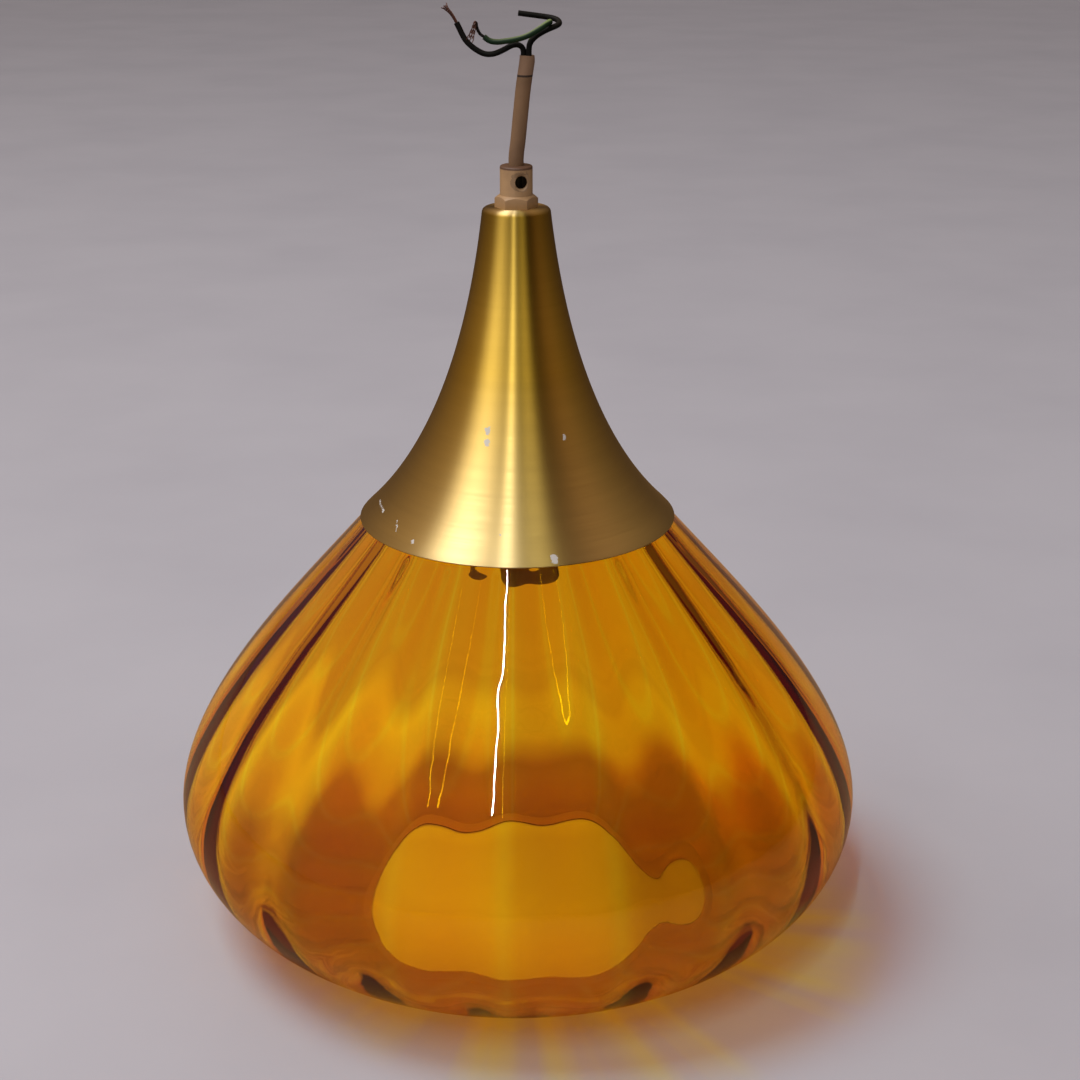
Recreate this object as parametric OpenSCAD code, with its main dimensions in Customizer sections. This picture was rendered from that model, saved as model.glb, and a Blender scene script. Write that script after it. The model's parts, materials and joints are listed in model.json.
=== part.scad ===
// Pendant light: ribbed amber glass shade under a spun metal cone, with its cord grip,
// hollow stem, glass clamp and bayonet lampholder. Millimetres, +Z up.
// It stands on the foot ring of its glass, and the origin is the centre of that ring.

/* [Glass shade] */
// Largest diameter of the glass
shade_d = 290; // [260:1:320]
// Height of the widest ring above the foot
belly_h = 60; // [50:1:75]
// Height of the cone's rim above the foot
rim_h = 183; // [165:1:210]
// Diameter of the glass where the cone's rim meets it
shoulder_d = 127.6; // [118:0.2:136]
// Slope of the shoulder at the rim, in degrees from upright
shoulder_angle = 40.4; // [36:0.2:44]
// Length of the curve handle above the belly
belly_rise = 38; // [25:1:50]
// Length of the curve handle under the rim
shoulder_pull = 41.7; // [30:0.1:55]
// Length of the curve handle below the belly
belly_drop = 37.3; // [25:0.1:45]
// Length of the curve handle at the foot
foot_pull = 21.7; // [10:0.1:30]
// Diameter of the open mouth
mouth_d = 148; // [120:1:160]
// Width of the flat ring round the mouth that the glass stands on
foot_w = 6; // [4:0.5:10]
// Rounding of the mouth's lower edge
mouth_round = 1.2; // [0.5:0.1:1.8]
// Thickness of the glass at the bottom of a groove
glass_wall = 2.8; // [2.4:0.1:4]
// Height of the glass neck that is hidden inside the cone
neck_h = 14; // [12:0.5:18]
// Number of ribs on the inside
rib_n = 20; // [12:1:24]
// How far a rib stands in from the grooves beside it
rib_h = 1.5; // [0.8:0.1:2.4]
// Turn of the first groove, in degrees from +X
rib_turn = 16.2; // [0:0.1:18]

/* [Cone cover] */
// Height of the cone above its rim
cone_h = 129; // [110:1:150]
// Diameter of the flat top
cone_top_d = 27.6; // [24:0.2:34]
// Thickness of the spun sheet
cone_wall = 0.9; // [0.6:0.1:1.4]
// Rounding of the edge of the flat top
cone_top_round = 2; // [1:0.1:3]
// Slope of the cone's side below the top, in degrees from upright
cone_top_angle = 6.8; // [4:0.2:10]
// Slope of the cone's side above the lip, in degrees from upright
cone_rim_angle = 46.6; // [44:0.2:50]
// Length of the curve handle below the top
cone_top_pull = 50; // [35:1:60]
// Length of the curve handle above the lip
cone_rim_pull = 40.7; // [30:0.1:50]
// Height of the lip round the rim
lip_h = 2.6; // [2:0.1:4]
// How far the lip stands out past the flare
lip_out = 1.9; // [1.2:0.1:2.4]
// Thickness of the folded lip
lip_wall = 1.4; // [1.2:0.1:1.8]

/* [Cord grip] */
// Diameter of the grip's body
grip_d = 13; // [12:0.1:16]
// Height of the grip above the cone
grip_h = 16.6; // [15:0.1:22]
// Width of the grip's base across its flats
grip_base_af = 15; // [14.6:0.1:19]
// Height of the grip's base
grip_base_h = 5; // [3:0.1:6]
// Depth of the socket for the stem
grip_socket_h = 7; // [5:0.1:8]
// Height of the side screw above the cone
grip_screw_h = 10.6; // [10.4:0.1:12]
// Diameter of the side screw
grip_screw_d = 5; // [4:0.1:5.2]
// Depth of the countersink of the side screw
grip_sink = 0.8; // [0.5:0.1:1.4]
// Direction of the side screw, in degrees from +X
grip_screw_turn = -69; // [-120:1:-30]
// Length of the side screw
grip_screw_l = 1.9; // [1.6:0.1:2.6]

/* [Stem] */
// Outer diameter of the hollow stem
stem_d = 10; // [9:0.1:10.4]
// Bore of the hollow stem
stem_bore = 7.4; // [6.8:0.1:7.8]
// Width of the stem's nuts across their flats
nut_af = 14; // [13:0.1:17]
// Height of a nut
nut_h = 4; // [3:0.1:5]
// Diameter of the washer under the cone's top
top_washer_d = 19; // [16:0.5:21]
// Diameter of the washer under the clamp dish
dish_washer_d = 24; // [18:0.5:28]
// Thickness of a washer
washer_t = 1.2; // [1:0.1:2]

/* [Glass clamp] */
// Height of the dish's flange above the cone's rim
seat_h = 7; // [5.5:0.1:8]
// Rise of the dish from its flange to its hub
dish_h = 36; // [32:0.5:44]
// Thickness of the dish's sheet
dish_t = 1.2; // [0.8:0.1:1.6]
// Diameter of the dish's flat hub
dish_hub_d = 40; // [34:0.5:46]
// Width of the dish's flange
flange_w = 6.5; // [5:0.5:8]
// Diameter of the vent holes
vent_d = 9; // [5:0.5:11]
// Number of vent holes
vent_n = 6; // [3:1:8]
// Thickness of the rubber outside the flange
gasket_t = 2.6; // [2:0.1:4]
// Height of the rubber ring
gasket_h = 6; // [4:0.1:7]

/* [Lampholder] */
// Length of the lampholder, from the cap's top to the mouth
holder_l = 65.6; // [62:0.1:70]
// Outer diameter of the barrel
barrel_d = 30; // [28.6:0.1:32]
// Bore that takes the lamp cap
barrel_bore = 22.5; // [22.3:0.1:22.8]
// Depth of the bore
bore_depth = 23; // [21:0.1:24]
// Depth of the lower part of the bore, which guides the lamp cap
guide_depth = 15; // [13:0.1:16]
// Length of the barrel below the cap
barrel_l = 35; // [33:0.1:38]
// Diameter of the cap and of the barrel's collar
cap_d = 38.6; // [37:0.1:42]
// Diameter of the cap's flat top
cap_top_d = 26; // [22:0.5:30]
// Thickness of the cap's wall
cap_wall = 2.4; // [1.8:0.1:2.8]
// Thickness of the cap's top
cap_top_t = 3; // [2:0.1:4]
// Height of the barrel's collar
collar_h = 2; // [1.5:0.1:3]
// Width of a bayonet slot
slot_w = 2.6; // [2.2:0.1:3]
// Length of a bayonet slot
slot_l = 9; // [7:0.1:10]
// Turn of a bayonet slot's cross part, in degrees
slot_cross = 20; // [15:1:25]
// Turn of the first bayonet slot, in degrees from +X
slot_turn = -22; // [-90:1:90]
// Diameter of the insert
insert_d = 25; // [24.4:0.1:25.6]
// Height of the insert
insert_h = 18; // [16:0.1:19]
// Distance between the two plungers
plunger_gap = 9.8; // [9:0.1:10.4]
// Diameter of a plunger
plunger_d = 3.8; // [3.2:0.1:4]
// How far a plunger stands out of the insert
plunger_out = 7.5; // [6.5:0.1:8]
// Diameter of the bore behind a plunger
plunger_bore = 5.2; // [4.8:0.1:5.4]
// Thickness of the lip that holds a plunger in
plunger_lip = 2; // [1.5:0.1:2.5]
// Thickness of a plunger's collar
plunger_collar = 1.6; // [1.2:0.1:2]
// Wire of a plunger's spring
spring_wire = 0.5; // [0.4:0.05:0.6]
// Coils of a plunger's spring
spring_n = 6; // [4:1:7]
// Height of a terminal block
block_h = 6; // [5:0.1:7]
// Width of a terminal block
block_w = 6; // [5.2:0.1:6.4]
// Height of the bush in the cap, below the cap's top
bush_h = 6; // [5.5:0.1:7]
// Diameter of the bush's flange
bush_flange_d = 20; // [18:0.1:20.6]
// Diameter of the shade ring
ring_d = 40; // [37:0.1:44]
// Height of the shade ring
ring_h = 7; // [5:0.1:8]
// Number of finger flutes on the shade ring
flute_n = 18; // [8:1:24]

/* [Cord] */
// Diameter of the cord's sheath
sheath_d = 6; // [5.6:0.1:6.2]
// Diameter of one core
core_d = 2.2; // [1.8:0.1:2.3]
// Diameter of a bundle of bare strands
strand_d = 1; // [0.6:0.1:1.4]

/* [Hidden] */
$fn = 96;

// Clearances
seat_gap = 0.3;
slip_gap = 0.1;
run_gap = 0.08;
thread_gap = 0.05;
cut_extra = 1;

// Sides of the large rounds, steps round a small corner, and edges of the small pieces
fine_sides = 180;
corner_steps = 4;
grip_chamfer = 1.4;
grip_round = 0.8;
nut_chamfer = 1;
stem_out = 1;
sheath_out = 5;
bush_wall = 2.2;
guide_relief = 0.5;

// Radii and heights that several pieces share
shade_r = shade_d / 2;
shoulder_r = shoulder_d / 2;
mouth_r = mouth_d / 2;
foot_r = mouth_r + foot_w;
rim_r = shoulder_r + seat_gap + lip_wall;
top_z = rim_h + cone_h;
neck_z = rim_h + neck_h;
seat_z = rim_h + seat_h;
hub_z = seat_z + dish_h;
grip_top_z = top_z + grip_h;
stem_r = stem_d / 2;
stem_hole_r = stem_r + seat_gap;
cap_z = hub_z - washer_t - nut_h;
cap_bottom_z = cap_z - holder_l + barrel_l;
holder_z = cap_z - holder_l;
step_z = holder_z + bore_depth;
insert_z = step_z + insert_h;
bush_z = cap_z - bush_h;
stem_bottom_z = bush_z - stem_out;
sheath_end_z = stem_bottom_z - sheath_out;
barrel_r = barrel_d / 2;
core_r = core_d / 2;

// Curves
function bez(a, b, c, d, t) =
    pow(1 - t, 3) * a + 3 * t * pow(1 - t, 2) * b + 3 * t * t * (1 - t) * c + pow(t, 3) * d;
function bez_way(a, b, c, d, t) =
    unit(pow(1 - t, 2) * (b - a) + 2 * t * (1 - t) * (c - b) + t * t * (d - c));
function unit(v) = v / norm(v);
function left_of(v) = [-v[1], v[0]];
function right_of(v) = [v[1], -v[0]];
function arc(cx, cy, r, a0, a1, n) =
    [for (i = [0:n]) [cx + r * cos(a0 + (a1 - a0) * i / n), cy + r * sin(a0 + (a1 - a0) * i / n)]];

// Side of the cone, from its top edge (t = 0) to the lip (t = 1)
flare_a = [cone_top_d / 2, top_z - cone_top_round];
flare_d = [rim_r - lip_out, rim_h + lip_h];
flare_b = flare_a + cone_top_pull * [sin(cone_top_angle), -cos(cone_top_angle)];
flare_c = flare_d + cone_rim_pull * [-sin(cone_rim_angle), cos(cone_rim_angle)];
function flare(t) = bez(flare_a, flare_b, flare_c, flare_d, t);
function flare_out(t) = left_of(bez_way(flare_a, flare_b, flare_c, flare_d, t));
function under_flare(t, depth) = flare(t) - depth * flare_out(t);
// The place on the curve at that depth under the cone where the height is z
function flare_t(z, depth, lo = 0, hi = 1, n = 24) =
    n == 0 ? (lo + hi) / 2
    : under_flare((lo + hi) / 2, depth)[1] > z ? flare_t(z, depth, (lo + hi) / 2, hi, n - 1)
    : flare_t(z, depth, lo, (lo + hi) / 2, n - 1);

// Outside of the glass, from the foot to the belly and from the belly to the rim
foot_a = [foot_r, 0];
foot_b = foot_a + [foot_pull, 0];
belly = [shade_r, belly_h];
foot_c = belly - [0, belly_drop];
rise_b = belly + [0, belly_rise];
rim_point = [shoulder_r, rim_h];
rise_c = rim_point + shoulder_pull * [sin(shoulder_angle), -cos(shoulder_angle)];
function low_glass(t) = bez(foot_a, foot_b, foot_c, belly, t);
function low_glass_out(t) = right_of(bez_way(foot_a, foot_b, foot_c, belly, t));
function high_glass(t) = bez(belly, rise_b, rise_c, rim_point, t);
function high_glass_out(t) = right_of(bez_way(belly, rise_b, rise_c, rim_point, t));

// The neck of the glass follows the inside of the cone
neck_depth = cone_wall + seat_gap;
neck_t = flare_t(neck_z, neck_depth);
neck_steps = 4;
low_steps = 12;
high_steps = 18;
blank_floor = 12;

// Whole outside form of the glass, solid above the mouth
glass_blank = concat(
    [[0, blank_floor], [mouth_r, blank_floor]],
    arc(mouth_r + mouth_round, mouth_round, mouth_round, 180, 270, corner_steps),
    [for (i = [0:low_steps]) low_glass(i / low_steps)],
    [for (i = [1:high_steps]) high_glass(i / high_steps)],
    [for (i = [0:neck_steps]) under_flare(1 + (neck_t - 1) * i / neck_steps, neck_depth)],
    [[0, neck_z]]
);

// Stations along the inside of the glass: point on the groove line, outward way, share of the rib
rib_steps = 8;
in_low_steps = 7;
in_high_steps = 8;
mouth_rib = 0.4;
rim_rib = 0.5;
plain_gap = 0.4;
plain_z = seat_z - gasket_h / 2 - plain_gap;
function station(p, out, share) = [p - glass_wall * out, out, share];
inside = concat(
    [for (z = [neck_z + glass_wall + cut_extra, seat_z, plain_z])
        let (t = flare_t(z, neck_depth)) station(under_flare(t, neck_depth), flare_out(t), 0)],
    [station(under_flare(1, neck_depth), flare_out(1), rim_rib)],
    [for (i = [in_high_steps:-1:1])
        station(high_glass(i / in_high_steps), high_glass_out(i / in_high_steps), 1)],
    [for (i = [in_low_steps:-1:0])
        let (t = i / in_low_steps) station(low_glass(t), low_glass_out(t), mouth_rib + (1 - mouth_rib) * t)],
    [station([mouth_r + mouth_round, 0], [0, -1], mouth_rib / 2)],
    [station([mouth_r - cut_extra, -mouth_round], [0, -1], 0)]
);
function rib(k) = pow(sin(180 * k / rib_steps), 2);

// A closed skin over rings of points that all have as many points
module skin(rings) {
    n = len(rings[0]);
    last = (len(rings) - 1) * n;
    sides = [for (i = [0:len(rings) - 2], k = [0:n - 1], half = [0, 1])
        let (a = i * n + k, b = i * n + (k + 1) % n)
        half == 0 ? [a, b, b + n] : [a, b + n, a + n]];
    caps = [[for (k = [n - 1:-1:0]) k], [for (k = [0:n - 1]) last + k]];
    polyhedron(points = [for (ring = rings, p = ring) p], faces = concat(sides, caps));
}

// A round tube swept along a route, with its rings turned as little as possible
function way(route, i) =
    unit(i == 0 ? route[1] - route[0]
        : i == len(route) - 1 ? route[i] - route[i - 1]
        : unit(route[i + 1] - route[i]) + unit(route[i] - route[i - 1]));
function square_to(v, w) = unit(v - (v * w) * w);
module cord(route, r, sides) {
    ways = [for (i = [0:len(route) - 1]) way(route, i)];
    first = square_to(abs(ways[0][2]) > 0.7 ? [0, 1, 0] : [0, 0, 1], ways[0]);
    ups = [for (i = 0, u = first; i < len(route);
        i = i + 1, u = i < len(route) ? square_to(u, ways[i]) : u) u];
    skin([for (i = [0:len(route) - 1])
        [for (k = [0:sides - 1])
            let (a = -360 * k / sides)
            route[i] + r * (cos(a) * ups[i] + sin(a) * cross(ways[i], ups[i]))]]);
}

module ring(outer_r, inner_r, h) {
    difference() {
        cylinder(r = outer_r, h = h);
        translate([0, 0, -cut_extra]) cylinder(r = inner_r, h = h + 2 * cut_extra);
    }
}

// A hexagonal block whose top corners are turned off
module hex_block(af, h, chamfer) {
    corner_r = af / 2 / cos(30);
    intersection() {
        cylinder(r = corner_r, h = h, $fn = 6);
        rotate_extrude() polygon([
            [0, 0], [corner_r, 0], [corner_r, h - chamfer], [af / 2 - chamfer / 2, h], [0, h]
        ]);
    }
}

module stem_nut() difference() {
    hex_block(nut_af, nut_h, nut_chamfer);
    translate([0, 0, -cut_extra]) cylinder(r = stem_r + thread_gap, h = nut_h + 2 * cut_extra);
}

// Routes of the cord, from the centre of the grip's top
sheath_route = [
    [0, 0, 0], [0, 0, 3], [0.8, 0, 10], [1.8, 0, 20], [3, 0, 31], [4.2, 0, 39], [4.4, 0, 40.5], [4.4, 0, 42.5]
];
live_route = [
    [3, 0, 42.5], [3, 0, 44], [2.6, -0.1, 45.3], [1.5, -0.3, 46.3], [0, -0.5, 46.6], [-1.8, -0.8, 46.2],
    [-4.2, -1.1, 45], [-6.8, -1.3, 43.8], [-9.5, -1.4, 43.1], [-12.2, -1.4, 43.3], [-14.8, -1.3, 44.5],
    [-17.2, -1.2, 46.2], [-19.2, -1.1, 48.2], [-20.6, -1, 50.5], [-21.8, -1, 53], [-22.8, -1, 55]
];
neutral_route = [
    [5.1, -1.2, 42.5], [5.1, -1.2, 45], [5.6, -1.3, 47.2], [7.2, -1.4, 49.3], [9.6, -1.2, 51],
    [12.2, -0.7, 52.3], [14.6, 0.4, 53.2], [16.3, 2.2, 53.8], [16.9, 4.3, 54.4], [16.2, 6.3, 55.2],
    [14.4, 7.7, 55.8], [12, 8.2, 56.2], [9.3, 8, 56.6], [6.6, 7.6, 57], [3.8, 7.2, 57.4], [1, 6.8, 57.8]
];
earth_route = [
    [5.1, 1.2, 42.5], [5.1, 1.2, 44.5], [5.4, 1.8, 46.6], [6.6, 2.6, 48.8], [8.6, 3, 50.9], [10.8, 2.7, 52.8],
    [12.6, 1.4, 54.3], [13.2, -0.6, 55.2], [12.4, -2.6, 55], [10.6, -4, 53.9], [8.2, -4.6, 52.4],
    [5.4, -4.7, 50.8], [2.4, -4.4, 49.6], [-0.8, -3.8, 48.8], [-4.2, -3.2, 48.2], [-7.4, -2.8, 47.9],
    [-10.2, -2.5, 48.4], [-12.2, -2.3, 49.8]
];
strands_live_route = [
    [-22.8, -1, 55], [-23.6, -1, 56.6], [-24.9, -1, 58.8], [-26.4, -1, 60.6], [-27.6, -1, 62.2]
];
strands_earth_route = [
    [-12.2, -2.3, 49.8], [-13.6, -2.16, 50.78], [-14.8, -2.4, 52.8], [-15.4, -2.8, 55.2], [-16.3, -3, 52.4],
    [-17.8, -3, 48.2]
];

// Routes of the inner cores, from the centre of the sheath's lower end
inner_drop = sheath_end_z - insert_z - block_h / 2;
block_y = block_w / 2;
inner_live_route = [
    [-1.2, 0.7, 0], [-1.2, 0.7, -1.5], [-2.6, 4.6, -4], [-4.7, 7, -inner_drop + 1.8],
    [-plunger_gap / 2, block_y + 2.2, -inner_drop], [-plunger_gap / 2, block_y, -inner_drop]
];
inner_neutral_route = [
    [0, -1.4, 0], [0, -1.4, -1.5], [1.6, -4.8, -4], [4.4, -7, -inner_drop + 1.8],
    [plunger_gap / 2, -block_y - 2.2, -inner_drop], [plunger_gap / 2, -block_y, -inner_drop]
];
tag_t = 0.8;
tag_turn = 37;
tag_reach = 11.4;
tag_z = bush_z - tag_t;
tag_rise = tag_z - sheath_end_z;
inner_earth_route = [
    [1.2, 0.7, 0], [1.2, 0.7, -1.5], [3.2, 2.5, -3], [6.4, 4.8, -1.8],
    [tag_reach * cos(tag_turn), tag_reach * sin(tag_turn), 1.6],
    [tag_reach * cos(tag_turn), tag_reach * sin(tag_turn), tag_rise]
];

module glass_shade() color("orange", 0.6) difference() {
    rotate_extrude($fn = fine_sides) polygon(glass_blank);
    skin([for (s = inside)
        [for (k = [0:rib_n * rib_steps - 1])
            let (a = rib_turn + 360 * k / (rib_n * rib_steps), p = s[0] - rib_h * s[2] * rib(k) * s[1])
            [p[0] * cos(a), p[0] * sin(a), p[1]]]]);
}

module cone_cover() color("goldenrod") {
    steps = 16;
    edge = 0.4;
    rotate_extrude($fn = fine_sides) polygon(concat(
        [[stem_hole_r, top_z]],
        arc(cone_top_d / 2 - cone_top_round, top_z - cone_top_round, cone_top_round, 90, cone_top_angle, corner_steps),
        [for (i = [1:steps]) flare(i / steps)],
        [[rim_r, rim_h + edge], [rim_r - edge, rim_h], [rim_r - lip_wall, rim_h]],
        [for (i = [steps:-1:0]) under_flare(i / steps, cone_wall)],
        [[cone_top_d / 2 - cone_top_round, top_z - cone_wall], [stem_hole_r, top_z - cone_wall]]
    ));
}

module cord_grip() color("burlywood") translate([0, 0, top_z]) {
    hole_r = grip_screw_d / 2 + thread_gap;
    difference() {
        union() {
            hex_block(grip_base_af, grip_base_h, grip_chamfer);
            rotate_extrude() polygon(concat(
                [[0, 0], [grip_d / 2, 0]],
                arc(grip_d / 2 - grip_round, grip_h - grip_round, grip_round, 0, 90, corner_steps),
                [[0, grip_h]]
            ));
        }
        rotate_extrude() polygon([
            [0, -cut_extra], [stem_r + thread_gap, -cut_extra], [stem_r + thread_gap, grip_socket_h],
            [sheath_d / 2 + slip_gap, grip_socket_h], [sheath_d / 2 + slip_gap, grip_h + cut_extra],
            [0, grip_h + cut_extra]
        ]);
        translate([0, 0, grip_screw_h]) rotate([0, 0, grip_screw_turn]) rotate([0, 90, 0])
            rotate_extrude() polygon([
                [0, cut_extra], [hole_r, cut_extra], [hole_r, grip_d / 2 - grip_sink],
                [hole_r + 2 * grip_sink, grip_d / 2 + grip_sink], [0, grip_d / 2 + grip_sink]
            ]);
    }
}

module grip_screw() color("dimgray") {
    slot = 0.8;
    translate([0, 0, top_z + grip_screw_h]) rotate([0, 0, grip_screw_turn]) rotate([0, 90, 0])
        translate([0, 0, sheath_d / 2 + seat_gap]) difference() {
            cylinder(r = grip_screw_d / 2, h = grip_screw_l);
            translate([-grip_screw_d, -slot / 2, grip_screw_l - slot]) cube([2 * grip_screw_d, slot, 2 * slot]);
        }
}

module at_grip_top() translate([0, 0, grip_top_z]) children();
module at_sheath_end() translate([0, 0, sheath_end_z]) children();

module cord_sheath() color("tan") at_grip_top() cord(sheath_route, sheath_d / 2, 12);
module core_live() color([0.12, 0.08, 0.06]) at_grip_top() cord(live_route, core_r, 8);
module core_neutral() color([0.06, 0.06, 0.07]) at_grip_top() cord(neutral_route, core_r, 8);
module core_earth() color("darkgreen") at_grip_top() cord(earth_route, core_r, 8);
module strands_live() color("peru") at_grip_top() cord(strands_live_route, strand_d / 2, 8);
module strands_earth() color("peru") at_grip_top() cord(strands_earth_route, strand_d / 2, 8);

module cord_in_stem() color("tan") at_sheath_end() cylinder(r = sheath_d / 2, h = grip_top_z - sheath_end_z);
module inner_live() color([0.12, 0.08, 0.06]) at_sheath_end() cord(inner_live_route, core_r, 8);
module inner_neutral() color([0.06, 0.06, 0.07]) at_sheath_end() cord(inner_neutral_route, core_r, 8);
module inner_earth() color("darkgreen") at_sheath_end() cord(inner_earth_route, core_r, 8);

module stem_tube() color("silver") translate([0, 0, stem_bottom_z])
    ring(stem_r, stem_bore / 2, top_z + grip_socket_h - stem_bottom_z);

module top_washer() color("silver") translate([0, 0, top_z - cone_wall - washer_t])
    ring(top_washer_d / 2, stem_hole_r, washer_t);

module top_nut() color("silver") translate([0, 0, top_z - cone_wall - washer_t]) mirror([0, 0, 1])
    stem_nut();

// Pressed dish: flange under the glass neck, sloping wall with vents, and hub on the stem
gasket_depth = neck_depth + glass_wall + seat_gap;
flange_r = under_flare(flare_t(seat_z, gasket_depth), gasket_depth)[0] - gasket_t;
dish_foot_r = flange_r - flange_w;
dish_run = dish_foot_r - dish_hub_d / 2;
dish_slope = atan2(dish_run, dish_h);
module clamp_dish() color("gainsboro") difference() {
    rotate_extrude() polygon([
        [stem_hole_r, hub_z], [dish_hub_d / 2, hub_z], [dish_foot_r, seat_z], [flange_r, seat_z],
        [flange_r, seat_z + dish_t], [dish_foot_r + dish_t * tan(45 - dish_slope / 2), seat_z + dish_t],
        [dish_hub_d / 2 + dish_t * tan(45 - dish_slope / 2), hub_z + dish_t], [stem_hole_r, hub_z + dish_t]
    ]);
    for (i = [0:vent_n - 1])
        rotate([0, 0, 360 * (i + 0.5) / vent_n])
            translate([dish_hub_d / 2 + dish_run / 2, 0, seat_z + dish_h / 2])
                rotate([0, 90 - dish_slope, 0]) translate([0, 0, -vent_d])
                    cylinder(r = vent_d / 2, h = 2 * vent_d);
}

// Rubber ring with a channel for the dish's flange
module gasket_ring() color([0.1, 0.1, 0.1]) {
    steps = 4;
    mid_z = seat_z + dish_t / 2;
    low_z = mid_z - gasket_h / 2;
    high_z = mid_z + gasket_h / 2;
    hold = 3;
    in_r = flange_r - hold;
    rotate_extrude() polygon(concat(
        [for (i = [0:steps])
            let (z = low_z + (high_z - low_z) * i / steps) [under_flare(flare_t(z, gasket_depth), gasket_depth)[0], z]],
        [[in_r, high_z], [in_r, seat_z + dish_t], [flange_r, seat_z + dish_t], [flange_r, seat_z],
            [in_r, seat_z], [in_r, low_z]]
    ));
}

module dish_washer() color("silver") translate([0, 0, hub_z - washer_t])
    ring(dish_washer_d / 2, stem_hole_r, washer_t);

module dish_nut() color("silver") translate([0, 0, hub_z - washer_t]) mirror([0, 0, 1])
    stem_nut();

// Cap of the lampholder: a domed cup with a hole for the bush
bush_r = stem_r + bush_wall;
cap_r = cap_d / 2;
cap_in_r = cap_r - cap_wall;
dome_h = 14;
module holder_cap() color([0.25, 0.13, 0.07]) {
    steps = 8;
    top = [cap_top_d / 2, cap_z];
    shoulder = [cap_r, cap_z - dome_h];
    inset = 0.5;
    in_top = [cap_top_d / 2 - inset, cap_z - cap_top_t];
    in_shoulder = [cap_in_r, cap_z - dome_h - inset];
    bow = 0.55;
    rotate_extrude() polygon(concat(
        [[bush_r + thread_gap, cap_z]],
        [for (i = [0:steps]) bez(top, [top[0] + bow * (cap_r - top[0]), top[1]],
            [cap_r, shoulder[1] + bow * dome_h], shoulder, i / steps)],
        [[cap_r, cap_bottom_z], [cap_in_r, cap_bottom_z]],
        [for (i = [steps:-1:0]) bez(in_top, [in_top[0] + bow * (cap_in_r - in_top[0]), in_top[1]],
            [cap_in_r, in_shoulder[1] + bow * (in_top[1] - in_shoulder[1])], in_shoulder, i / steps)],
        [[bush_r + thread_gap, cap_z - cap_top_t]]
    ));
}

// Brass bush that joins the cap to the stem and carries the earth screw
earth_r = 7.8;
earth_screw_r = 1.3;
earth_screw_l = 3;
earth_head_r = 2.1;
earth_head_h = 1.4;
module at_earth() rotate([0, 0, tag_turn]) translate([earth_r, 0, 0]) children();
module entry_bush() color("gold") difference() {
    rotate_extrude() polygon([
        [stem_r + thread_gap, bush_z], [bush_flange_d / 2, bush_z], [bush_flange_d / 2, cap_z - cap_top_t],
        [bush_r, cap_z - cap_top_t], [bush_r, cap_z], [stem_r + thread_gap, cap_z]
    ]);
    at_earth() translate([0, 0, bush_z - earth_screw_l])
        cylinder(r = earth_screw_r + thread_gap, h = 2 * earth_screw_l - tag_t + slip_gap);
}

module earth_tag() color("goldenrod") translate([0, 0, tag_z]) {
    tongue_w = 3.4;
    eye_r = 2.6;
    tip = 0.3;
    difference() {
        union() {
            at_earth() cylinder(r = eye_r, h = tag_t);
            rotate([0, 0, tag_turn]) translate([earth_r, -tongue_w / 2, 0])
                cube([tag_reach + core_r + tip - earth_r, tongue_w, tag_t]);
        }
        at_earth() translate([0, 0, -cut_extra]) cylinder(r = earth_screw_r + slip_gap, h = 3 * cut_extra);
    }
}

module pan_screw(shank_r, shank_l, head_r, head_h) {
    slot = 0.7;
    union() {
        translate([0, 0, -shank_l]) cylinder(r = shank_r, h = shank_l);
        difference() {
            cylinder(r = head_r, h = head_h);
            translate([-head_r - cut_extra, -slot / 2, head_h - slot])
                cube([2 * (head_r + cut_extra), slot, 2 * slot]);
        }
    }
}

module earth_screw() color("gold") at_earth() translate([0, 0, tag_z]) mirror([0, 0, 1])
    pan_screw(earth_screw_r, earth_screw_l, earth_head_r, earth_head_h);

// Insert: carries the two plungers, their springs and the terminal blocks
plunger_r = plunger_d / 2;
plunger_bore_r = plunger_bore / 2;
post_h = 4;
bore_top_z = insert_z - post_h;
lip_top_z = step_z + plunger_lip;
module at_plunger(side) translate([side * plunger_gap / 2, 0, 0]) children();
module holder_insert() color([0.85, 0.82, 0.74]) difference() {
    translate([0, 0, step_z]) cylinder(r = insert_d / 2, h = insert_h);
    for (side = [-1, 1]) at_plunger(side) {
        translate([0, 0, step_z - cut_extra]) cylinder(r = plunger_r + run_gap, h = insert_h);
        translate([0, 0, lip_top_z]) cylinder(r = plunger_bore_r, h = insert_h);
    }
}

tip_round = 0.6;
tip_z = step_z - plunger_out;
module plunger(side) color("gold") at_plunger(side) rotate_extrude() polygon(concat(
    [[0, tip_z]],
    arc(plunger_r - tip_round, tip_z + tip_round, tip_round, 270, 360, corner_steps),
    [[plunger_r, lip_top_z + seat_gap], [plunger_bore_r - run_gap, lip_top_z + seat_gap],
        [plunger_bore_r - run_gap, lip_top_z + seat_gap + plunger_collar],
        [0, lip_top_z + seat_gap + plunger_collar]]
));
module plunger_a() plunger(-1);
module plunger_b() plunger(1);

// Closed coil tube between a plunger's collar and the terminal block
spring_r = plunger_bore_r - run_gap - spring_wire / 2 - slip_gap;
spring_low = lip_top_z + seat_gap + plunger_collar + spring_wire / 2;
spring_high = bore_top_z - spring_wire / 2;
module spring(side) color("lightgray") at_plunger(side) {
    coil_steps = 8;
    wire_sides = 6;
    rings = spring_n * coil_steps;
    skin([for (i = [0:rings])
        let (a = 360 * i / coil_steps, z = spring_high + (spring_low - spring_high) * i / rings)
        [for (k = [0:wire_sides - 1])
            let (b = 360 * k / wire_sides, out = spring_r + spring_wire / 2 * cos(b))
            [out * cos(a), out * sin(a), z - spring_wire / 2 * sin(b)]]]);
}
module spring_a() spring(-1);
module spring_b() spring(1);

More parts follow.
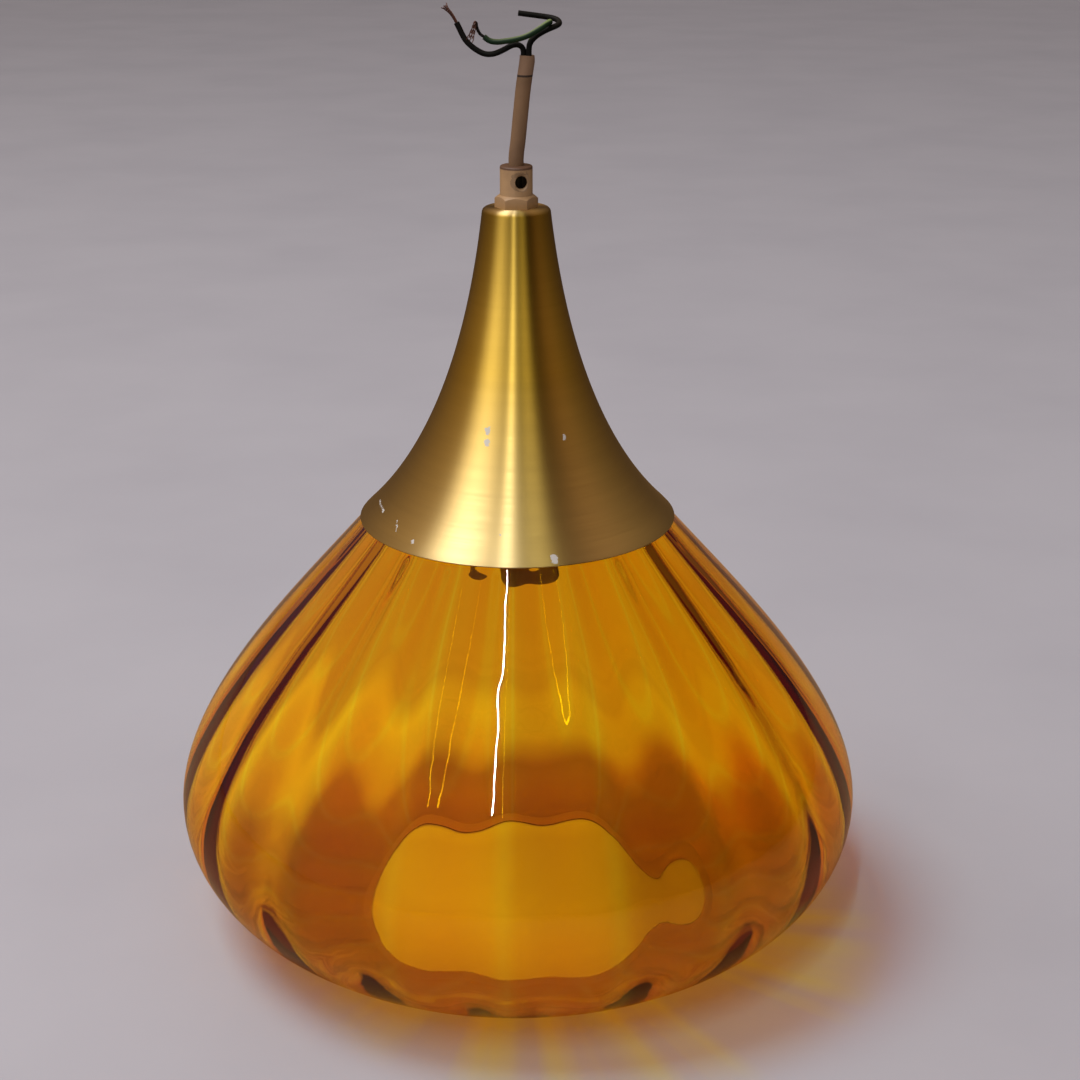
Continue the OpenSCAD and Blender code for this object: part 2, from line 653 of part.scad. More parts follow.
terminal_screw_r = 1.3;
terminal_head_r = 2.3;
terminal_head_h = 1.5;
module terminal_blocks() color("gold") for (side = [-1, 1]) at_plunger(side) difference() {
    union() {
        translate([0, 0, bore_top_z]) cylinder(r = plunger_bore_r - thread_gap, h = post_h);
        translate([-block_w / 2, -block_w / 2, insert_z]) cube([block_w, block_w, block_h]);
    }
    translate([0, 0, insert_z + block_h / 2]) cylinder(r = terminal_screw_r + thread_gap, h = block_h);
}

module terminal_screws() color("silver") for (side = [-1, 1]) at_plunger(side)
    translate([0, 0, insert_z + block_h])
        pan_screw(terminal_screw_r, block_h / 2 - slip_gap, terminal_head_r, terminal_head_h);

// Barrel: bore for the lamp cap with two bayonet slots, collar, and spigot inside the cap
spigot_r = cap_in_r - slip_gap;
spigot_h = 7;
seat_r = insert_d / 2 + slip_gap;
module holder_barrel() color([0.2, 0.1, 0.05]) difference() {
    edge = 0.5;
    slot_end = 1.6 * slot_w;
    lap = 5;
    rotate_extrude() polygon([
        [barrel_bore / 2, holder_z], [barrel_r - edge, holder_z], [barrel_r, holder_z + edge],
        [barrel_r, cap_bottom_z - collar_h], [cap_r, cap_bottom_z - collar_h], [cap_r, cap_bottom_z],
        [spigot_r, cap_bottom_z], [spigot_r, cap_bottom_z + spigot_h], [seat_r, cap_bottom_z + spigot_h],
        [seat_r, step_z], [barrel_bore / 2 + guide_relief, step_z],
        [barrel_bore / 2 + guide_relief, holder_z + guide_depth], [barrel_bore / 2, holder_z + guide_depth]
    ]);
    for (side = [0, 180]) rotate([0, 0, slot_turn + side]) {
        translate([0, -slot_w / 2, holder_z - cut_extra]) cube([barrel_d, slot_w, slot_l + cut_extra]);
        translate([0, 0, holder_z + slot_l - slot_w]) linear_extrude(height = slot_w)
            polygon([[0, 0], [barrel_d, 0], [barrel_d, barrel_d * tan(slot_cross - lap)]]);
        rotate([0, 0, slot_cross]) translate([0, -slot_w, holder_z + slot_l - slot_end])
            cube([barrel_d - cut_extra, slot_w, slot_end]);
    }
}

module shade_ring() color([0.22, 0.12, 0.06]) {
    flute_r = 1.1;
    edge = 1;
    translate([0, 0, cap_bottom_z - collar_h - seat_gap - ring_h]) difference() {
        rotate_extrude() polygon([
            [barrel_r + run_gap, 0], [ring_d / 2 - edge, 0], [ring_d / 2, edge], [ring_d / 2, ring_h],
            [barrel_r + run_gap, ring_h]
        ]);
        for (i = [0:flute_n - 1]) rotate([0, 0, 360 * i / flute_n])
            translate([ring_d / 2 + flute_r / 2, 0, -cut_extra])
                cylinder(r = flute_r, h = ring_h + 2 * cut_extra);
    }
}

glass_shade();
cone_cover();
cord_grip();
grip_screw();
cord_sheath();
core_live();
core_neutral();
core_earth();
strands_live();
strands_earth();
cord_in_stem();
inner_live();
inner_neutral();
inner_earth();
stem_tube();
top_washer();
top_nut();
clamp_dish();
gasket_ring();
dish_washer();
dish_nut();
holder_cap();
entry_bush();
earth_tag();
earth_screw();
holder_insert();
plunger_a();
plunger_b();
spring_a();
spring_b();
terminal_blocks();
terminal_screws();
holder_barrel();
shade_ring();
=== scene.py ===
import json
import math

import bpy
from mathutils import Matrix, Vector, kdtree


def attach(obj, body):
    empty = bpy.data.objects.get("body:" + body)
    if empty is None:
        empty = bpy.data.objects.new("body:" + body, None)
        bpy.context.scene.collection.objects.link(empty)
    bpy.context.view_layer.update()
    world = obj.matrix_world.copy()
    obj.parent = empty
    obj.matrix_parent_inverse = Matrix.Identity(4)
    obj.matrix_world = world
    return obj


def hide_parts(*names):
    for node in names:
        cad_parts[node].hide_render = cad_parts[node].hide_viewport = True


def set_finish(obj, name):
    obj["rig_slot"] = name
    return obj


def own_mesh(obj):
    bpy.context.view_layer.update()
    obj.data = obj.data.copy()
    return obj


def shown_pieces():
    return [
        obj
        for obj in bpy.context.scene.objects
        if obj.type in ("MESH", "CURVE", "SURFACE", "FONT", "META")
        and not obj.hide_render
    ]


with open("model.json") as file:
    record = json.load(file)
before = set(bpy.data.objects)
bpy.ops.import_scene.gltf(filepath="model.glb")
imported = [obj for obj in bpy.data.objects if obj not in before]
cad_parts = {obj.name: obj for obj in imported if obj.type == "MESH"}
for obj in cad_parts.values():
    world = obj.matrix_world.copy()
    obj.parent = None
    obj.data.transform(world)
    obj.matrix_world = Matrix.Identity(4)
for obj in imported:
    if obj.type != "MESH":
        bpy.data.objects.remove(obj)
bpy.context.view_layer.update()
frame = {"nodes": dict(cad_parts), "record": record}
MM = 0.001

# %% [markdown]
# ## The camera
# The photograph was taken from a little above, so the camera looks down at the light. A long lens far
# away and a short lens close by give different outlines, and this place and lens give the real one.
# %% Camera
CAMERA_PLACE = (0.0094, -0.830, 0.471)
CAMERA_DOWN = 19.86
bpy.ops.object.camera_add(location=CAMERA_PLACE, rotation=(math.radians(90 - CAMERA_DOWN), 0, 0))
camera = bpy.context.object
camera.data.lens = 70
camera.data.sensor_width = 36
bpy.context.scene.camera = camera
print("camera", CAMERA_PLACE, "down", CAMERA_DOWN)

# %% [markdown]
# ## The free cord
# A cord is a thin round thing along a path. A chain of cylinders would show its joints, so each cord is
# a curve with a round bevel. The handles of its points are automatic, which makes a smooth way through
# every point. Each point holds the real radius of the cord, in metres, and the bevel is 1 m, so that the
# box of the curve is the box of the cord.
# %% Helpers for curves
GRIP_TOP = Vector((0, 0, 328.6))


def start_clean():
    """Leaves edit mode and deselects everything."""
    if bpy.context.object and bpy.context.object.mode != "OBJECT":
        bpy.ops.object.mode_set(mode="OBJECT")
    bpy.ops.object.select_all(action="DESELECT")


def make_active(piece):
    """Selects one piece alone."""
    start_clean()
    piece.select_set(True)
    bpy.context.view_layer.objects.active = piece


def place_of(point):
    """A point of a cord's path, counted from the top of the grip, as a place in metres."""
    return tuple((GRIP_TOP + Vector(point)) * MM)


def curve_through(name, points, diameter, sizes=None, sides=6):
    """A round cord through points that are counted from the top of the grip."""
    start_clean()
    bpy.ops.curve.primitive_bezier_curve_add(location=(0, 0, 0))
    piece = bpy.context.object
    piece.name = name
    spline = piece.data.splines[0]
    spline.bezier_points.add(len(points) - 2)
    for i, (point, knot) in enumerate(zip(points, spline.bezier_points)):
        knot.co = place_of(point)
        knot.handle_left_type = "AUTO"
        knot.handle_right_type = "AUTO"
        knot.radius = diameter / 2 * MM * (sizes[i] if sizes else 1.0)
    piece.data.bevel_depth = 1.0
    piece.data.bevel_resolution = sides
    piece.data.resolution_u = 10
    piece.data.use_fill_caps = True
    return piece


def path_length(points):
    """Length of a path in metres."""
    return sum((Vector(b) - Vector(a)).length for a, b in zip(points, points[1:])) * MM


# %% [markdown]
# The sheath is the outer skin of the cord. It leaves the grip straight and leans a little to the right,
# and its cut end is a little narrower, because the knife has pressed it in.
# %% Sheath
SHEATH = [
    (0, 0, 0), (0, 0, 3), (0.8, 0, 10), (1.8, 0, 20), (3, 0, 31), (4.2, 0, 39), (4.4, 0, 40.5),
    (4.4, 0, 42.5),
]
SHEATH_D = 6
CUT_END = 0.96
sheath_sizes = [1] * (len(SHEATH) - 1) + [CUT_END]
sheath = curve_through("cord_sheath_skin", SHEATH, SHEATH_D, sizes=sheath_sizes, sides=10)
print("sheath", round(path_length(SHEATH), 4))

# %% [markdown]
# Three insulated cores leave the cut end of the sheath. The live core sweeps to the left, the neutral core
# makes a hairpin to the right, and the earth core goes right and comes back to the left. Their points are
# chosen to follow the photograph.
# %% Cores
LIVE = [
    (3, 0, 42.5), (3, 0, 44), (2.6, -0.1, 45.3), (1.5, -0.3, 46.3), (0, -0.5, 46.6), (-1.8, -0.8, 46.2),
    (-4.2, -1.1, 45), (-6.8, -1.3, 43.8), (-9.5, -1.4, 43.1), (-12.2, -1.4, 43.3), (-14.8, -1.3, 44.5),
    (-17.2, -1.2, 46.2), (-19.2, -1.1, 48.2), (-20.6, -1, 50.5), (-21.8, -1, 53), (-22.8, -1, 55),
]
NEUTRAL = [
    (5.1, -1.2, 42.5), (5.1, -1.2, 45), (5.6, -1.3, 47.2), (7.2, -1.4, 49.3), (9.6, -1.2, 51),
    (12.2, -0.7, 52.3), (14.6, 0.4, 53.2), (16.3, 2.2, 53.8), (16.9, 4.3, 54.4), (16.2, 6.3, 55.2),
    (14.4, 7.7, 55.8), (12, 8.2, 56.2), (9.3, 8, 56.6), (6.6, 7.6, 57), (3.8, 7.2, 57.4), (1, 6.8, 57.8),
]
EARTH = [
    (5.1, 1.2, 42.5), (5.1, 1.2, 44.5), (5.4, 1.8, 46.6), (6.6, 2.6, 48.8), (8.6, 3, 50.9), (10.8, 2.7, 52.8),
    (12.6, 1.4, 54.3), (13.2, -0.6, 55.2), (12.4, -2.6, 55), (10.6, -4, 53.9), (8.2, -4.6, 52.4),
    (5.4, -4.7, 50.8), (2.4, -4.4, 49.6), (-0.8, -3.8, 48.8), (-4.2, -3.2, 48.2), (-7.4, -2.8, 47.9),
    (-10.2, -2.5, 48.4), (-12.2, -2.3, 49.8),
]
CORE_D = 2.2
live = curve_through("core_live_skin", LIVE, CORE_D)
neutral = curve_through("core_neutral_skin", NEUTRAL, CORE_D)
earth = curve_through("core_earth_skin", EARTH, CORE_D)
print("cores", [round(path_length(p), 4) for p in (LIVE, NEUTRAL, EARTH)])

# %% [markdown]
# Two cores end in bare copper, a bundle of thin wires with a twist that comes loose at the tip. Each wire
# is its own curve that winds round the bundle's path, and its distance from the path grows toward the
# tip. Every third wire is a little longer than the others. The wires of a bundle are joined as one mesh.
# %% Bare copper strands
LIVE_STRANDS = [(-22.8, -1, 55), (-23.6, -1, 56.5), (-24.9, -1, 58.5), (-26.4, -1, 60.1), (-27.6, -1, 61.5)]
EARTH_STRANDS = [
    (-12.2, -2.3, 49.8), (-13.6, -2.16, 50.78), (-14.8, -2.4, 52.8), (-15.4, -2.8, 55.2), (-16.3, -3, 52.4),
    (-17.8, -3, 48.2),
]
LOOSER_ON_THE_WAY = 0.35
LOOSE_AT_THE_TIP = 2.2


def smooth_path(points, parts=8):
    """More points on a smooth way through the given ones."""
    knots = [Vector(p) for p in points]
    knots = [2 * knots[0] - knots[1]] + knots + [2 * knots[-1] - knots[-2]]
    way = []
    for a, b, c, d in zip(knots, knots[1:], knots[2:], knots[3:]):
        for i in range(parts):
            t = i / parts
            way.append(0.5 * (2 * b + (c - a) * t + (2 * a - 5 * b + 4 * c - d) * t ** 2
                              + (3 * b - a - 3 * c + d) * t ** 3))
    return way + [knots[-2]]


def strand_bundle(name, points, wires=7, spread=0.42, wire=0.36, turns=1.6):
    """Thin wires twisted round one path, with their ends a little apart, as one mesh."""
    way = smooth_path(points)
    curves = []
    for k in range(wires):
        offset = 0 if k == 0 else spread
        line = []
        for i, place in enumerate(way):
            t = i / (len(way) - 1)
            ahead = (way[min(i + 1, len(way) - 1)] - way[max(i - 1, 0)]).normalized()
            side = ahead.cross(Vector((0, 1, 0))).normalized()
            other = ahead.cross(side)
            a = 2 * math.pi * (turns * t + k / (wires - 1))
            out = offset * (1 + LOOSER_ON_THE_WAY * t + LOOSE_AT_THE_TIP * t ** 6)
            line.append(place + out * (math.cos(a) * side + math.sin(a) * other))
        end = len(line) - (k % 3)
        curves.append(curve_through(f"{name}_wire", [tuple(p) for p in line[:end:2]], wire, sides=1))
    make_active(curves[0])
    for piece in curves:
        piece.select_set(True)
    bpy.ops.object.convert(target="MESH")
    bpy.ops.object.join()
    bundle = bpy.context.object
    bundle.name = name
    return bundle


live_wires = strand_bundle("strands_live_wires", LIVE_STRANDS)
earth_wires = strand_bundle("strands_earth_wires", EARTH_STRANDS)
print("strands", len(live_wires.data.vertices), len(earth_wires.data.vertices))


def stand_for(piece, body, node, slot):
    """Says which body a piece rides on, which node it stands for, and which finish it takes."""
    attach(piece, body)
    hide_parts(node)
    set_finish(piece, slot)


stand_for(sheath, "fixture", "cord_sheath", "tan_sheath")
stand_for(live, "fixture", "core_live", "dark_core")
stand_for(neutral, "fixture", "core_neutral", "dark_core")
stand_for(earth, "fixture", "core_earth", "green_core")
stand_for(live_wires, "fixture", "strands_live", "copper")
stand_for(earth_wires, "fixture", "strands_earth", "copper")

# %% [markdown]
# ## Turned shapes
# Glass blown in a round mould, spun metal and turned brass are all shapes that go round an axis. The
# way to make one is to draw half of its outline and spin it. Here the outline is drawn by extruding one
# point from place to place, and the spin operator carries it round.
# %% Helpers for outlines
MERGE_WITHIN = 0.002


def turned(name, outline, steps):
    """Spins a closed outline of (radius, height) points round the vertical axis."""
    start_clean()
    first = Vector((outline[0][0], 0, outline[0][1])) * MM
    bpy.ops.mesh.primitive_plane_add(size=1 * MM, location=first)
    piece = bpy.context.object
    piece.name = name
    bpy.ops.object.mode_set(mode="EDIT")
    bpy.ops.mesh.merge(type="CENTER")
    points = list(outline) + [outline[0]]
    for a, b in zip(points, points[1:]):
        step = ((b[0] - a[0]) * MM, 0, (b[1] - a[1]) * MM)
        bpy.ops.mesh.extrude_region_move(TRANSFORM_OT_translate={"value": step})
    bpy.ops.mesh.select_all(action="SELECT")
    bpy.ops.mesh.spin(steps=steps, angle=2 * math.pi, center=(0, 0, 0), axis=(0, 0, 1))
    bpy.ops.mesh.select_all(action="SELECT")
    bpy.ops.mesh.remove_doubles(threshold=MERGE_WITHIN * MM)
    bpy.ops.mesh.normals_make_consistent(inside=False)
    bpy.ops.object.mode_set(mode="OBJECT")
    bpy.ops.object.transform_apply(location=True, rotation=True, scale=True)
    return piece


def smooth(piece, angle=35):
    """Smooth shading, with sharp edges where faces meet at more than the angle."""
    make_active(piece)
    bpy.ops.object.shade_smooth_by_angle(angle=math.radians(angle))
    return piece


def bezier(a, b, c, d, t):
    """Point and direction at share t of a curve from a to d with the handles b and c."""
    a, b, c, d = (Vector(p) for p in (a, b, c, d))
    place = (1 - t) ** 3 * a + 3 * t * (1 - t) ** 2 * b + 3 * t * t * (1 - t) * c + t ** 3 * d
    way = (1 - t) ** 2 * (b - a) + 2 * t * (1 - t) * (c - b) + t * t * (d - c)
    return place, way.normalized()


def corner(x, z, radius, start, end, parts):
    """Points on a round corner about (x, z), from one angle to another in degrees."""
    angles = [math.radians(start + (end - start) * i / parts) for i in range(parts + 1)]
    return [(x + radius * math.cos(a), z + radius * math.sin(a)) for a in angles]


# %% [markdown]
# ## The side of the cone and of the glass
# The cone flares from a narrow top to a wide lip. One curve with two handles holds that flare, and the
# neck of the glass, hidden inside, follows it a little deeper. Two more curves hold the outside of the
# glass: from the flat foot out to the belly, and from the belly up to the cone's rim.
# %% Curves of the cone and of the glass
CONE_TOP = 312
NECK_TOP = 197
FLARE_START = (13.8, 310)
FLARE_END = (63.6, 185.6)
FLARE_TOP_ANGLE = 6.8
FOOT = (80, 0)
BELLY = (145, 60)
SHOULDER = (63.8, 183)
FOOT_HANDLE = 21.7
BELLY_HANDLE_DOWN = 37.3
BELLY_HANDLE_UP = 38


def handle(point, length, angle, turn=1):
    """A handle of some length at an angle from upright, in degrees."""
    a = math.radians(angle)
    return (point[0] + turn * length * math.sin(a), point[1] - turn * length * math.cos(a))


def flare(t, depth=0):
    """Point on the cone's side at share t, some depth inside it, and the outward direction there."""
    upper = handle(FLARE_START, length=50, angle=FLARE_TOP_ANGLE)
    lower = handle(FLARE_END, length=40.7, angle=46.6, turn=-1)
    place, way = bezier(FLARE_START, upper, lower, FLARE_END, t)
    out = Vector((-way[1], way[0]))
    return place - depth * out, out


def flare_share(height, depth):
    """Share at which that curve reaches a height."""
    low, high = 0.0, 1.0
    for _ in range(30):
        middle = (low + high) / 2
        if flare(middle, depth)[0][1] > height:
            low = middle
        else:
            high = middle
    return low


def low_glass(t):
    """Outside of the glass from the foot to the belly, and the outward direction."""
    flat = (FOOT[0] + FOOT_HANDLE, 0)
    upright = (BELLY[0], BELLY[1] - BELLY_HANDLE_DOWN)
    place, way = bezier(FOOT, flat, upright, BELLY, t)
    return place, Vector((way[1], -way[0]))


def high_glass(t):
    """Outside of the glass from the belly to the cone's rim, and the outward direction."""
    upright = (BELLY[0], BELLY[1] + BELLY_HANDLE_UP)
    slanting = handle(SHOULDER, length=41.7, angle=40.4)
    place, way = bezier(BELLY, upright, slanting, SHOULDER, t)
    return place, Vector((way[1], -way[0]))


for name, curve in (("cone side", flare), ("glass shoulder", high_glass)):
    print(name, [round(v, 1) for v in curve(0.5)[0]])

# %% [markdown]
# ## The glass
# The shade was blown into a ribbed mould and then blown out smooth, so the ribs stay on the inside while
# the outside is round. The outline has both skins: up the outside, down the inside, and round the lip of
# the mouth. Each point also notes its outward direction and how much of the rib's height it gets.
# %% Outline of the glass
WALL = 2.8
RIBS = 20
NECK_GAP = 1.2
NECK_PARTS = 5
LOW_PARTS = 22
HIGH_PARTS = 40
MOUTH_SHARE = 0.4
LIP_R = WALL / 2
LIP_X = 75.4


def glass_outline():
    """Points of both skins, each with its outward direction and its share of the rib's height."""
    top = flare_share(NECK_TOP, NECK_GAP)
    outer = [low_glass(i / LOW_PARTS) for i in range(LOW_PARTS)]
    outer += [high_glass(i / HIGH_PARTS) for i in range(HIGH_PARTS + 1)]
    outer += [flare(1 + (top - 1) * i / NECK_PARTS, NECK_GAP) for i in range(NECK_PARTS + 1)]
    points = [(place, out, 0.0) for place, out in outer]
    inner_top = flare_share(NECK_TOP, NECK_GAP + WALL)
    for i in range(NECK_PARTS + 1):
        place, out = flare(inner_top + (1 - inner_top) * i / NECK_PARTS, NECK_GAP + WALL)
        points.append((place, out, 0.5 if i == NECK_PARTS else 0.0))
    for i in range(HIGH_PARTS, 0, -1):
        place, out = high_glass(i / HIGH_PARTS)
        points.append((place - WALL * out, out, 1.0))
    for i in range(LOW_PARTS, -1, -1):
        place, out = low_glass(i / LOW_PARTS)
        points.append((place - WALL * out, out, MOUTH_SHARE + (1 - MOUTH_SHARE) * i / LOW_PARTS))
    down = Vector((0, -1))
    points += [(Vector(p), down, 0.0) for p in corner(LIP_X, LIP_R, LIP_R, 90, 270, 8)]
    return points


glass_points = glass_outline()
glass = turned("glass_shade_skin", [tuple(p[0]) for p in glass_points], steps=RIBS * 20)
print("glass outline", len(glass_points), "points", len(glass.data.vertices), "vertices")

# %% [markdown]
# The ribs could be cut with twenty gouges, but their height is a plain wave round the axis. So each point
# of the inner skin is moved in by numbers: the nearest point of the outline gives its direction and its
# share, and its angle gives its place on the wave.
# %% Ribs of the glass
RIB = 1.5
RIB_TURN = 16.2


def rib_height(angle):
    """Share of the rib's height at an angle in degrees, as a smooth wave."""
    return math.sin(math.radians((angle - RIB_TURN) * RIBS / 2)) ** 2


def push_ribs(piece, points):
    """Moves each point of the inner skin inwards by its share of a rib."""
    tree = kdtree.KDTree(len(points))
    for i, (place, _, _) in enumerate(points):
        tree.insert((place[0] * MM, place[1] * MM, 0), i)
    tree.balance()
    for vertex in piece.data.vertices:
        x, y, z = vertex.co
        radius = math.hypot(x, y)
        _, index, _ = tree.find((radius, z, 0))
        _, out, share = points[index]
        depth = RIB * MM * share * rib_height(math.degrees(math.atan2(y, x)))
        new_radius = radius - depth * out[0]
        vertex.co = (x * new_radius / radius, y * new_radius / radius, z - depth * out[1])


push_ribs(glass, glass_points)
smooth(glass, 60)
stand_for(glass, "fixture", "glass_shade", "amber_glass")
print("glass box", [round(v, 4) for v in glass.dimensions])

# %% [markdown]
# ## The cone cover
# The cone is one sheet of aluminium spun over a wooden form. Its top edge is round, its wall is under a
# millimetre, and its lip is folded outward in a short roll.
# %% Cone cover
CONE_WALL = 0.9
STEM_HOLE = 5.3
CONE_PARTS = 40
TOP_R = 11.8
TOP_ROUND = 2
LIP_ROLL = [(64.6, 184.5), (65.2, 183.9), (65.5, 183.5), (65.4, 183.15), (65.1, 183), (64.1, 183)]
cone_outline = [(STEM_HOLE, CONE_TOP)]
cone_outline += corner(TOP_R, CONE_TOP - TOP_ROUND, TOP_ROUND, 90, FLARE_TOP_ANGLE, 8)[:-1]
cone_outline += [tuple(flare(i / CONE_PARTS)[0]) for i in range(CONE_PARTS + 1)]
cone_outline += LIP_ROLL
cone_outline += [tuple(flare(i / CONE_PARTS, CONE_WALL)[0]) for i in range(CONE_PARTS, -1, -1)]
cone_outline += [(TOP_R, CONE_TOP - CONE_WALL), (STEM_HOLE, CONE_TOP - CONE_WALL)]
cone = smooth(turned("cone_cover_skin", cone_outline, steps=192))
stand_for(cone, "fixture", "cone_cover", "gold_anodised")
print("cone", len(cone.data.vertices), "vertices")

# %% [markdown]
# ## Pieces that keep their form
# The rest of the light is machined and moulded hardware. Their solids have the right form, but every
# edge of the real ones is a little round. A copy of each solid is merged into one skin, its flat faces
# are joined, and a narrow bevel rounds its edges. The bevel is in millimetres, and wider on soft plastic
# than on the steel screw.
# %% Hardware that shows
BEVELS = {"cord_grip": 0.25, "grip_screw": 0.12, "holder_barrel": 0.25, "shade_ring": 0.25, "holder_cap": 0.3}
bodies = frame["record"]["behaviour"]["bodies"]
body_of_node = {node: body for body, nodes in bodies.items() for node in nodes}
slot_of_node = {part["node"]: part["material_slot"] for part in frame["record"]["subparts"]}


def rounded_copy(node, width):
    """A copy of a node with its edges rounded by a narrow bevel."""
    source = frame["nodes"][node]
    source.hide_viewport = False
    make_active(source)
    bpy.ops.object.duplicate()
    piece = bpy.context.object
    piece.name = f"{node}_skin"
    piece.parent = None
    piece.data.materials.clear()
    bpy.ops.object.mode_set(mode="EDIT")
    bpy.ops.mesh.select_all(action="SELECT")
    bpy.ops.mesh.remove_doubles(threshold=MERGE_WITHIN * MM)
    bpy.ops.mesh.dissolve_limited(angle_limit=math.radians(1))
    bpy.ops.object.mode_set(mode="OBJECT")
    bevel = piece.modifiers.new("edge rounding", "BEVEL")
    bevel.width = width * MM
    bevel.segments = 2
    bevel.limit_method = "ANGLE"
    bevel.angle_limit = math.radians(30)
    bevel.harden_normals = False
    bpy.ops.object.modifier_apply(modifier=bevel.name)
    return smooth(piece, 40)


for node, width in BEVELS.items():
    piece = rounded_copy(node, width)
    stand_for(piece, body_of_node[node], node, slot_of_node[node])
    print(node, len(piece.data.vertices), "vertices")

# %% [markdown]
# ## Coil springs
# Each contact plunger of the lampholder is pushed down by a small coil spring. A helix is a circle that
# climbs while it turns, so the wire follows points on one. On the real light the spring shortens when its
# plunger goes up, and its upper end stays against the insert; here each spring is built at one length.
# %% Springs
SPRING_LOW = 182.35
SPRING_HIGH = 191.95
SPRING_R = 2.17
SPRING_WIRE = 0.5
SPRING_X = {"a": -4.9, "b": 4.9}
COILS = 6
COIL_STEPS = 16


def spring(side, x):
    """Coil spring at a place on the X axis, as a mesh tube."""
    points = []
    steps = COILS * COIL_STEPS
    for i in range(steps + 1):
        a = 2 * math.pi * i / COIL_STEPS
        z = SPRING_HIGH + (SPRING_LOW - SPRING_HIGH) * i / steps
        points.append((x + SPRING_R * math.cos(a), SPRING_R * math.sin(a), z - GRIP_TOP[2]))
    piece = curve_through(f"spring_{side}_wire", points, SPRING_WIRE, sides=2)
    piece.data.resolution_u = 2
    make_active(piece)
    bpy.ops.object.convert(target="MESH")
    return smooth(bpy.context.object, 60)


for side, x in SPRING_X.items():
    piece = spring(side, x)
    stand_for(piece, "fixture", f"spring_{side}", "spring_steel")
    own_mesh(piece)
    print("spring", side, len(piece.data.vertices), "vertices")

# %% [markdown]
# ## Materials
# A finish is a graph of nodes. Each helper below makes one node and gives back its output, so that a
# finish reads like a sum. A plain colour is given without its alpha.
# %% Helpers for nodes
FLOAT = "NodeSocketFloat"
COLOUR = "NodeSocketColor"
VECTOR = "NodeSocketVector"


def node_of(tree, kind, links=(), **values):
    """A node with its settings, its plain input values, and links into its inputs."""
    made = tree.nodes.new(kind)
    for key, value in values.items():
        setattr(made, key, value)
    for socket, source in links:
        if hasattr(source, "is_output"):
            tree.links.new(source, made.inputs[socket])
        else:
            made.inputs[socket].default_value = source
    return made


def maths(tree, operation, *values, **settings):
    """A sum on numbers."""
    return node_of(tree, "ShaderNodeMath", enumerate(values), operation=operation, **settings).outputs[0]


def vectors(tree, operation, *values):
    """A sum on places, which gives a place, or a number where the operation gives one."""
    made = node_of(tree, "ShaderNodeVectorMath", enumerate(values), operation=operation)
    return made.outputs["Value" if operation in ("LENGTH", "DISTANCE", "DOT_PRODUCT") else "Vector"]


def ranged(tree, value, low, high, to_low=0.0, to_high=1.0, kind="LINEAR"):
    """A number that goes from to_low to to_high while a value goes from low to high."""
    links = [("Value", value), ("From Min", low), ("From Max", high), ("To Min", to_low), ("To Max", to_high)]
    return node_of(tree, "ShaderNodeMapRange", links, interpolation_type=kind).outputs["Result"]


def mixed(tree, share, first, second, blend="MIX"):
    """A mix of two colours by a share."""
    first, second = ((*c, 1) if isinstance(c, tuple) else c for c in (first, second))
    links = [(0, share), (6, first), (7, second)]
    return node_of(tree, "ShaderNodeMix", links, data_type="RGBA", blend_type=blend).outputs[2]


def mixed_shader(tree, share, first, second):
    """A mix of two shaders by a share."""
    return node_of(tree, "ShaderNodeMixShader", [(0, share), (1, first), (2, second)]).outputs[0]


def noise(tree, place, scale, detail, output="Fac"):
    """A cloudy pattern at a place."""
    links = [("Vector", place), ("Scale", scale), ("Detail", detail)]
    return node_of(tree, "ShaderNodeTexNoise", links).outputs[output]


def raised(tree, height, strength, depth):
    """The direction of a surface that a pattern raises by some depth."""
    links = [("Height", height), ("Strength", strength), ("Distance", depth * MM)]
    return node_of(tree, "ShaderNodeBump", links).outputs["Normal"]


def coordinate(tree, output="Object"):
    """The place on the object, or another texture coordinate."""
    return node_of(tree, "ShaderNodeTexCoord").outputs[output]


def axes(tree, place):
    """The X, Y and Z of a place."""
    return node_of(tree, "ShaderNodeSeparateXYZ", [(0, place)]).outputs


def ramp(tree, share, stops):
    """A colour that goes through stops of a position and a colour. A new ramp has two stops already."""
    made = node_of(tree, "ShaderNodeValToRGB", [(0, share)])
    elements = made.color_ramp.elements
    for i, (position, colour) in enumerate(stops):
        stop = elements[i] if i < 2 else elements.new(1.0)
        stop.position = position
        stop.color = (*colour, 1)
    return made.outputs["Color"]


def add_group(name, inputs, outputs):
    """An empty node group with its sockets, and the nodes that take and give their values."""
    group = bpy.data.node_groups.new(name, "ShaderNodeTree")
    for socket, kind, value in inputs:
        made = group.interface.new_socket(name=socket, in_out="INPUT", socket_type=kind)
        made.default_value = value
    for socket, kind in outputs:
        group.interface.new_socket(name=socket, in_out="OUTPUT", socket_type=kind)
    return group, group.nodes.new("NodeGroupInput").outputs, group.nodes.new("NodeGroupOutput").inputs


# %% [markdown]
# Three effects come back in several finishes, so each is a node group. The first is uneven colour: old
# plastic and metal have clouds of stain, and where they are stained they are also duller. A fine grain
# goes with it, for a bump.
# %% Group for uneven colour
CLOUD_EDGES = (0.38, 0.72)
STAIN_DULLS = 0.18
uneven, taken, given = add_group(
    "uneven colour",
    [("Base", COLOUR, (0.5, 0.5, 0.5, 1)), ("Stain", COLOUR, (0.2, 0.2, 0.2, 1)), ("Scale", FLOAT, 80.0),
     ("Amount", FLOAT, 0.5), ("Roughness", FLOAT, 0.5), ("Grain", FLOAT, 900.0)],
    [("Color", COLOUR), ("Roughness", FLOAT), ("Height", FLOAT)],
)
place = coordinate(uneven)
cloud = ranged(uneven, noise(uneven, place, taken["Scale"], 5.0), *CLOUD_EDGES)
share = maths(uneven, "MULTIPLY", cloud, taken["Amount"])
